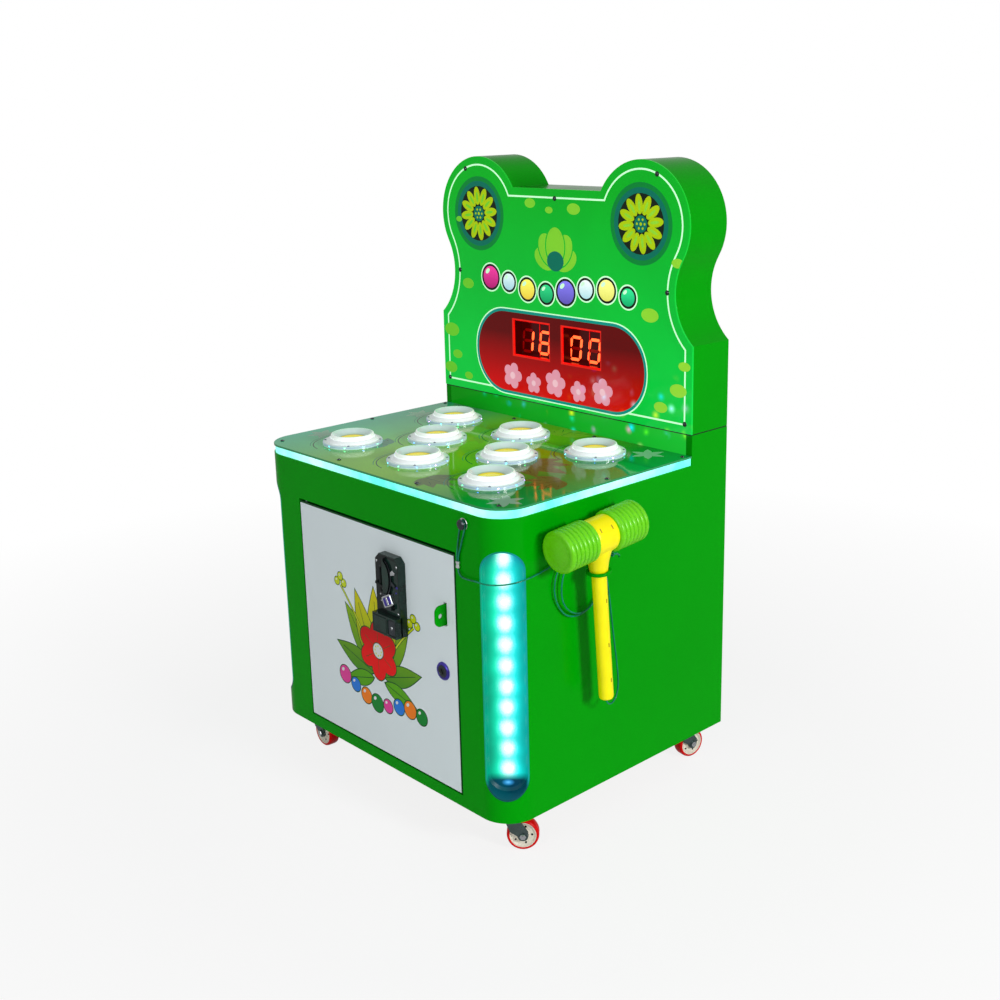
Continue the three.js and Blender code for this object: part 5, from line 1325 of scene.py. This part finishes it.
def make_mallet():
    body = Form()
    body.lathe(mirrored([(24.6, -22), (27, -21.2), (28, -19.4)]), 0, LATHE_ALONG_Y, 56)
    body = body.build("mallet_body", None, at=MALLET)
    neck = Form()
    neck.lathe(HANDLE, steps=56)
    combine(body, [neck.cutter(MALLET)], "UNION")
    remesh = body.modifiers.new("even", "REMESH")
    remesh.mode, remesh.voxel_size = "VOXEL", 1.5 * MM
    melt = body.modifiers.new("melt", "SMOOTH")
    melt.factor, melt.iterations = 0.5, 9
    bake(body)
    repaint(body, YELLOW, 80)
    settle(body, "mallet", ("mallet_handle",))

    marks = Form(YELLOW_MARK, YELLOW)
    for y, angle in ((-10, 54), (9, 60), (-13, -38), (10, -36)):
        spot = LATHE_ALONG_Y @ rotate(angle) @ shift(27.75, 0, y)
        marks.box((-0.4, -3.2, -0.9), (0.35, 3.2, 0.9), 0, spot, 0.15)
    for z, turn in ((-100, 8), (-171, 4), (-229, 10)):
        spot = rotate(turn) @ shift(11.15, 0, z)
        marks.box((-0.4, -0.9, -3.2), (0.35, 0.9, 3.2), 0, spot, 0.15)
    seam = [(27.85 * cos(0.5), y, 27.85 * sin(0.5)) for y in (-19, -12, 0, 12, 19)]
    marks.tube(seam, 0.45, 1, sides=8)
    seam = [(11.2, 0, -64), (11.0, 0, -120), (11.1, 0, -200), (11.35, 0, -252)]
    marks.tube(seam, 0.4, 1, sides=8)
    marks.build("mallet_marks", "mallet", "mallet_yellow", at=MALLET)

    tie = Form(CORD_COVER)
    for reach, drop, swing in ((19, -9, 4.0), (24, -15, 7.0)):
        knot = [(8, 19, -34), (7, 23, -34.5), (6, 23 + reach * 0.4, -34 + drop * 0.2),
                (5 - swing * 0.3, 23 + reach * 0.8, -34 + drop * 0.6),
                (4 - swing, 23 + reach, -34 + drop)]
        tie.tube(smooth_path(knot, 24), 1.1, sides=10)
    ring = enumerate(circle(7.5, -34, 3.1, 24))
    tie.tube([(x, 22.5 + 0.8 * sin(pi * i / 6), z) for i, (x, z) in ring], 1.3, sides=10, loop=True)
    tie.build("mallet_tie", "mallet", "cord_cover", at=MALLET)

    feet = [22.9 + i * 8.2 for i in range(6)]
    profile = [(24, 21.9), (28.6, 22.3), (29.4, 23),
               *((r, foot + h) for foot in feet for r, h in RIB), *BELLOWS_END]
    for name, way in (("front", -1), ("rear", 1)):
        head = Form(BELLOWS)
        head.lathe([(r, way * h) for r, h in profile], 0, LATHE_ALONG_Y, 72)
        head.build(f"mallet_bellows_{name}", "mallet", "bellows_green", (f"mallet_head_{name}",),
                   at=MALLET, soften=50)

    centre = down_handle(55.5)
    holder = Form(CORD_COVER, GREEN, CHROME, BLACK)
    spot = shift(*centre) @ LEAN
    holder.tube([(*point, 0) for point in circle(0, 0, 16.3, 56)], 2.7, 1, spot, 14, loop=True)
    y, z = centre.y, centre.z
    arm = [(301, y, 461.3), (304.7, y, 461.3), (310.85, y, z + 5.4), (318.35, y, z), (319.7, y, z)]
    holder.tube(smooth_path(arm, 30), 2.6, 1, sides=14)
    holder.prism(rectangle(y - 13, y + 13, 447, 481, 4), 300, 302, 1, FACING_RIGHT, 0.5)
    add_screws(holder, ((y, 452.5), (y, 475.5)), 302, 3.0, FACING_RIGHT, 2, 3, 1.4)
    holder.build("mallet_hanger", "cabinet", "green_paint", ("mallet_holder",))


# Casters: the profiles of half a wheel, in towards its middle
TREAD_HALF = [(20.6, -9.2), (21.4, -10), (22.8, -9.8), (24.3, -8.4), (25, -5.6)]
HUB_HALF = [(3.3, -8.6), (5.6, -8.8), (9.4, -8.8), (10.2, -8.2), (10.8, -6.8), (17.2, -6.8),
            (18.2, -7.8), (19.4, -9.2), (20.9, -9.2)]


def make_casters():
    for name, turn in CASTER_TURNS.items():
        x = PIVOT[0] if "right" in name else -PIVOT[0]
        y = PIVOT[1] if "rear" in name else -PIVOT[1]
        pivot = CABINET @ shift(x * MM, y * MM, 0)
        swing = pivot @ rotate(turn)
        hub_spot = swing @ shift(0.02, 0, 0.025) @ LATHE_ALONG_Y
        dress(f"caster_{name}_plate", ZINC, 0.5)
        dress(f"caster_{name}_fork", ZINC, 0.6, 40)
        wheel = Form(TREAD, HUB, ZINC, BLACK)
        for mark, profile in enumerate((TREAD_HALF, HUB_HALF)):
            wheel.lathe(mirrored(profile), mark, None, 64, loop=True)
        for side in (-1, 1):
            flip = Matrix.Scale(side, 4, (0, 0, 1))
            wheel.lathe([(4.2, 8.7), (8.4, 8.7), (8.0, 9.1), (5.0, 9.1)], 2, flip, 32, True)
            for spot in circle(0, 0, 14, 5):
                wheel.lathe([(1.7, 6.7), (1.7, 7.0), (0.2, 7.0)], 3, flip @ shift(*spot), 16)
        wheel.build(f"wheel_{name}", f"{name}_wheel", "red_tread", (f"caster_{name}_wheel",),
                    at=hub_spot)
        bolts = Form(CHROME, BLACK, ZINC)
        for side in (-1, 1):
            flip = Matrix.Scale(side, 4, (0, 0, 1))
            bolts.prism(circle(0, 0, 5.2, 6), 13.4, 16.4, 0, flip, 0.6)
            bolts.lathe([(6.4, 13.3), (6.4, 14.0), (2, 14.0)], 2, flip, 32)
            bolts.lathe([(2.6, 16.2), (2.2, 17.0), (0.3, 17.1)], 0, flip, 20)
        bolts.build(f"axle_bolt_{name}", f"{name}_swivel", "chrome", at=hub_spot)
        heads = Form(CHROME, BLACK)
        spots = [(dx, dy) for dx in (-25, 25) for dy in (21, -21)]
        add_screws(heads, spots, -65.5, 3.2, FACING_DOWN, height=1.5)
        heads.build(f"plate_screws_{name}", "cabinet", "chrome", at=pivot)


# Back panel with its vents and power inlet, and the pieces inside
def make_back():
    vents = [420 + (i - 2.5) * 14 for i in range(6)]
    holes = [rectangle(-45, 45, z - 2.5, z + 2.5, 2.3) for z in vents]
    holes.append(rectangle(-195, -145, 101, 159))
    panel = Form(GREEN, GREEN_EDGE)
    panel.plate(rectangle(-287.7, 287.7, UNDERSIDE, SEAM), BACK - 12, BACK, (), holes, 0.7, 0, 0,
                FACING_BACK)
    panel.build("back_painted", "cabinet", "green_paint", ("back_panel",), soften=20)
    heads = Form(CHROME, BLACK)
    lower = [(x, z) for x in (-275, 0, 275) for z in (82, 330, 578) if x or z != 330]
    add_screws(heads, lower, BACK, 3.6, FACING_BACK, height=1.8)
    upper = ((-240, 640), (240, 640), (-225, 985), (225, 985), (0, 945), (-238, 815), (238, 815))
    add_screws(heads, upper, BACK, 3.2, FACING_BACK)
    heads.build("back_screws", "cabinet", "chrome")
    dress("power_inlet", BLACK, 0.5)
    fittings = Form(ALUMINIUM)
    for x, z in ((-175.5, 127.5), (-164.5, 127.5), (-170, 133.5)):
        fittings.box((x - 1, z - 2, BACK - 13.8), (x + 1, z + 2, BACK - 1), 0, FACING_BACK, 0.3)
    fittings.build("inlet_fittings", "cabinet", "black_plastic")


def make_inside():
    plain = (("riser_board", GREEN_LIT, "green_paint"), ("bottom_board", WOOD, "board_wood"),
             ("playfield_board", WOOD, "board_wood"),
             ("mole_switch_board", CIRCUIT, "circuit_board"), ("control_box", ZINC, "zinc_steel"),
             ("coin_box", ZINC, "zinc_steel"), ("speaker", BLACK, "black_plastic"))
    for node, material, slot in plain:
        dress(node, material, 0.5)


make_tether()
make_mallet()
make_casters()
make_back()
make_inside()


# Floor, backdrop and light: a mirrored white is dimmed, and its ambient share lights the part
WHITE = (1, 1, 1)
MIRRORED, AMBIENT = 0.42, 0.26
FLOOR_REACH = 30


def make_stage():
    made = Finish("floor_pale")
    made.finish((0.80, 0.80, 0.80), rough=0.7, vary=0.01, specular=0.2)
    rays = made.node("LightPath").outputs
    seen = made.math("MAXIMUM", rays["Is Camera Ray"], rays["Is Glossy Ray"])
    level = made.mapped(rays["Is Glossy Ray"], 0.0, 1.0, 1.0, MIRRORED)
    white = made.node("Emission", {"Color": WHITE, "Strength": level}).outputs[0]
    share = made.product(seen, made.mapped(made.radius(), 0.6, 1.8, 0.84, 1.0))
    share = made.math("MAXIMUM", share, rays["Is Glossy Ray"])
    pick = made.node("MixShader", {0: share, 1: made.shader.outputs[0], 2: white}).outputs[0]
    made.put(pick, made.tree.nodes["Material Output"].inputs["Surface"])
    mesh = bpy.data.meshes.new("floor")
    corners = rectangle(-FLOOR_REACH, FLOOR_REACH, -FLOOR_REACH, FLOOR_REACH)
    mesh.from_pydata([(*corner, 0) for corner in corners], [], [(0, 1, 2, 3)])
    mesh.materials.append(made.material)
    add_object("floor", mesh)

    world = bpy.data.worlds.new("studio")
    scene.world = world
    world.use_nodes = True
    sky = Nodes(world.node_tree)
    background = sky.tree.nodes["Background"].inputs
    rays = sky.node("LightPath").outputs
    seen = sky.math("MAXIMUM", rays["Is Camera Ray"], sky.product(rays["Is Glossy Ray"], MIRRORED))
    seen = sky.math("MAXIMUM", seen, rays["Is Transmission Ray"])
    sky.put(sky.mapped(seen, 0.0, 1.0, AMBIENT, 1.0), background["Strength"])
    sky.put(WHITE, background["Color"])


def add_lamp(name, at, aim, size, power):
    data = bpy.data.lights.new(name, "AREA")
    data.shape, data.size, data.size_y, data.energy = "RECTANGLE", size, size, power
    ahead = Vector(aim) - Vector(at)
    add_object(name, data, shift(*at) @ ahead.to_track_quat("-Z", "Y").to_matrix().to_4x4())


make_stage()
add_lamp("key", (3.2, 0.15, 1.5), (0, 0, 0.45), 0.6, 64)
add_lamp("fill", (0.9, -3.1, 1.3), (0, 0, 0.4), 1.6, 26)
add_lamp("top", (0.3, -0.3, 3.0), (0, 0, 0.5), 1.6, 3)

scene.view_settings.view_transform = "Standard"
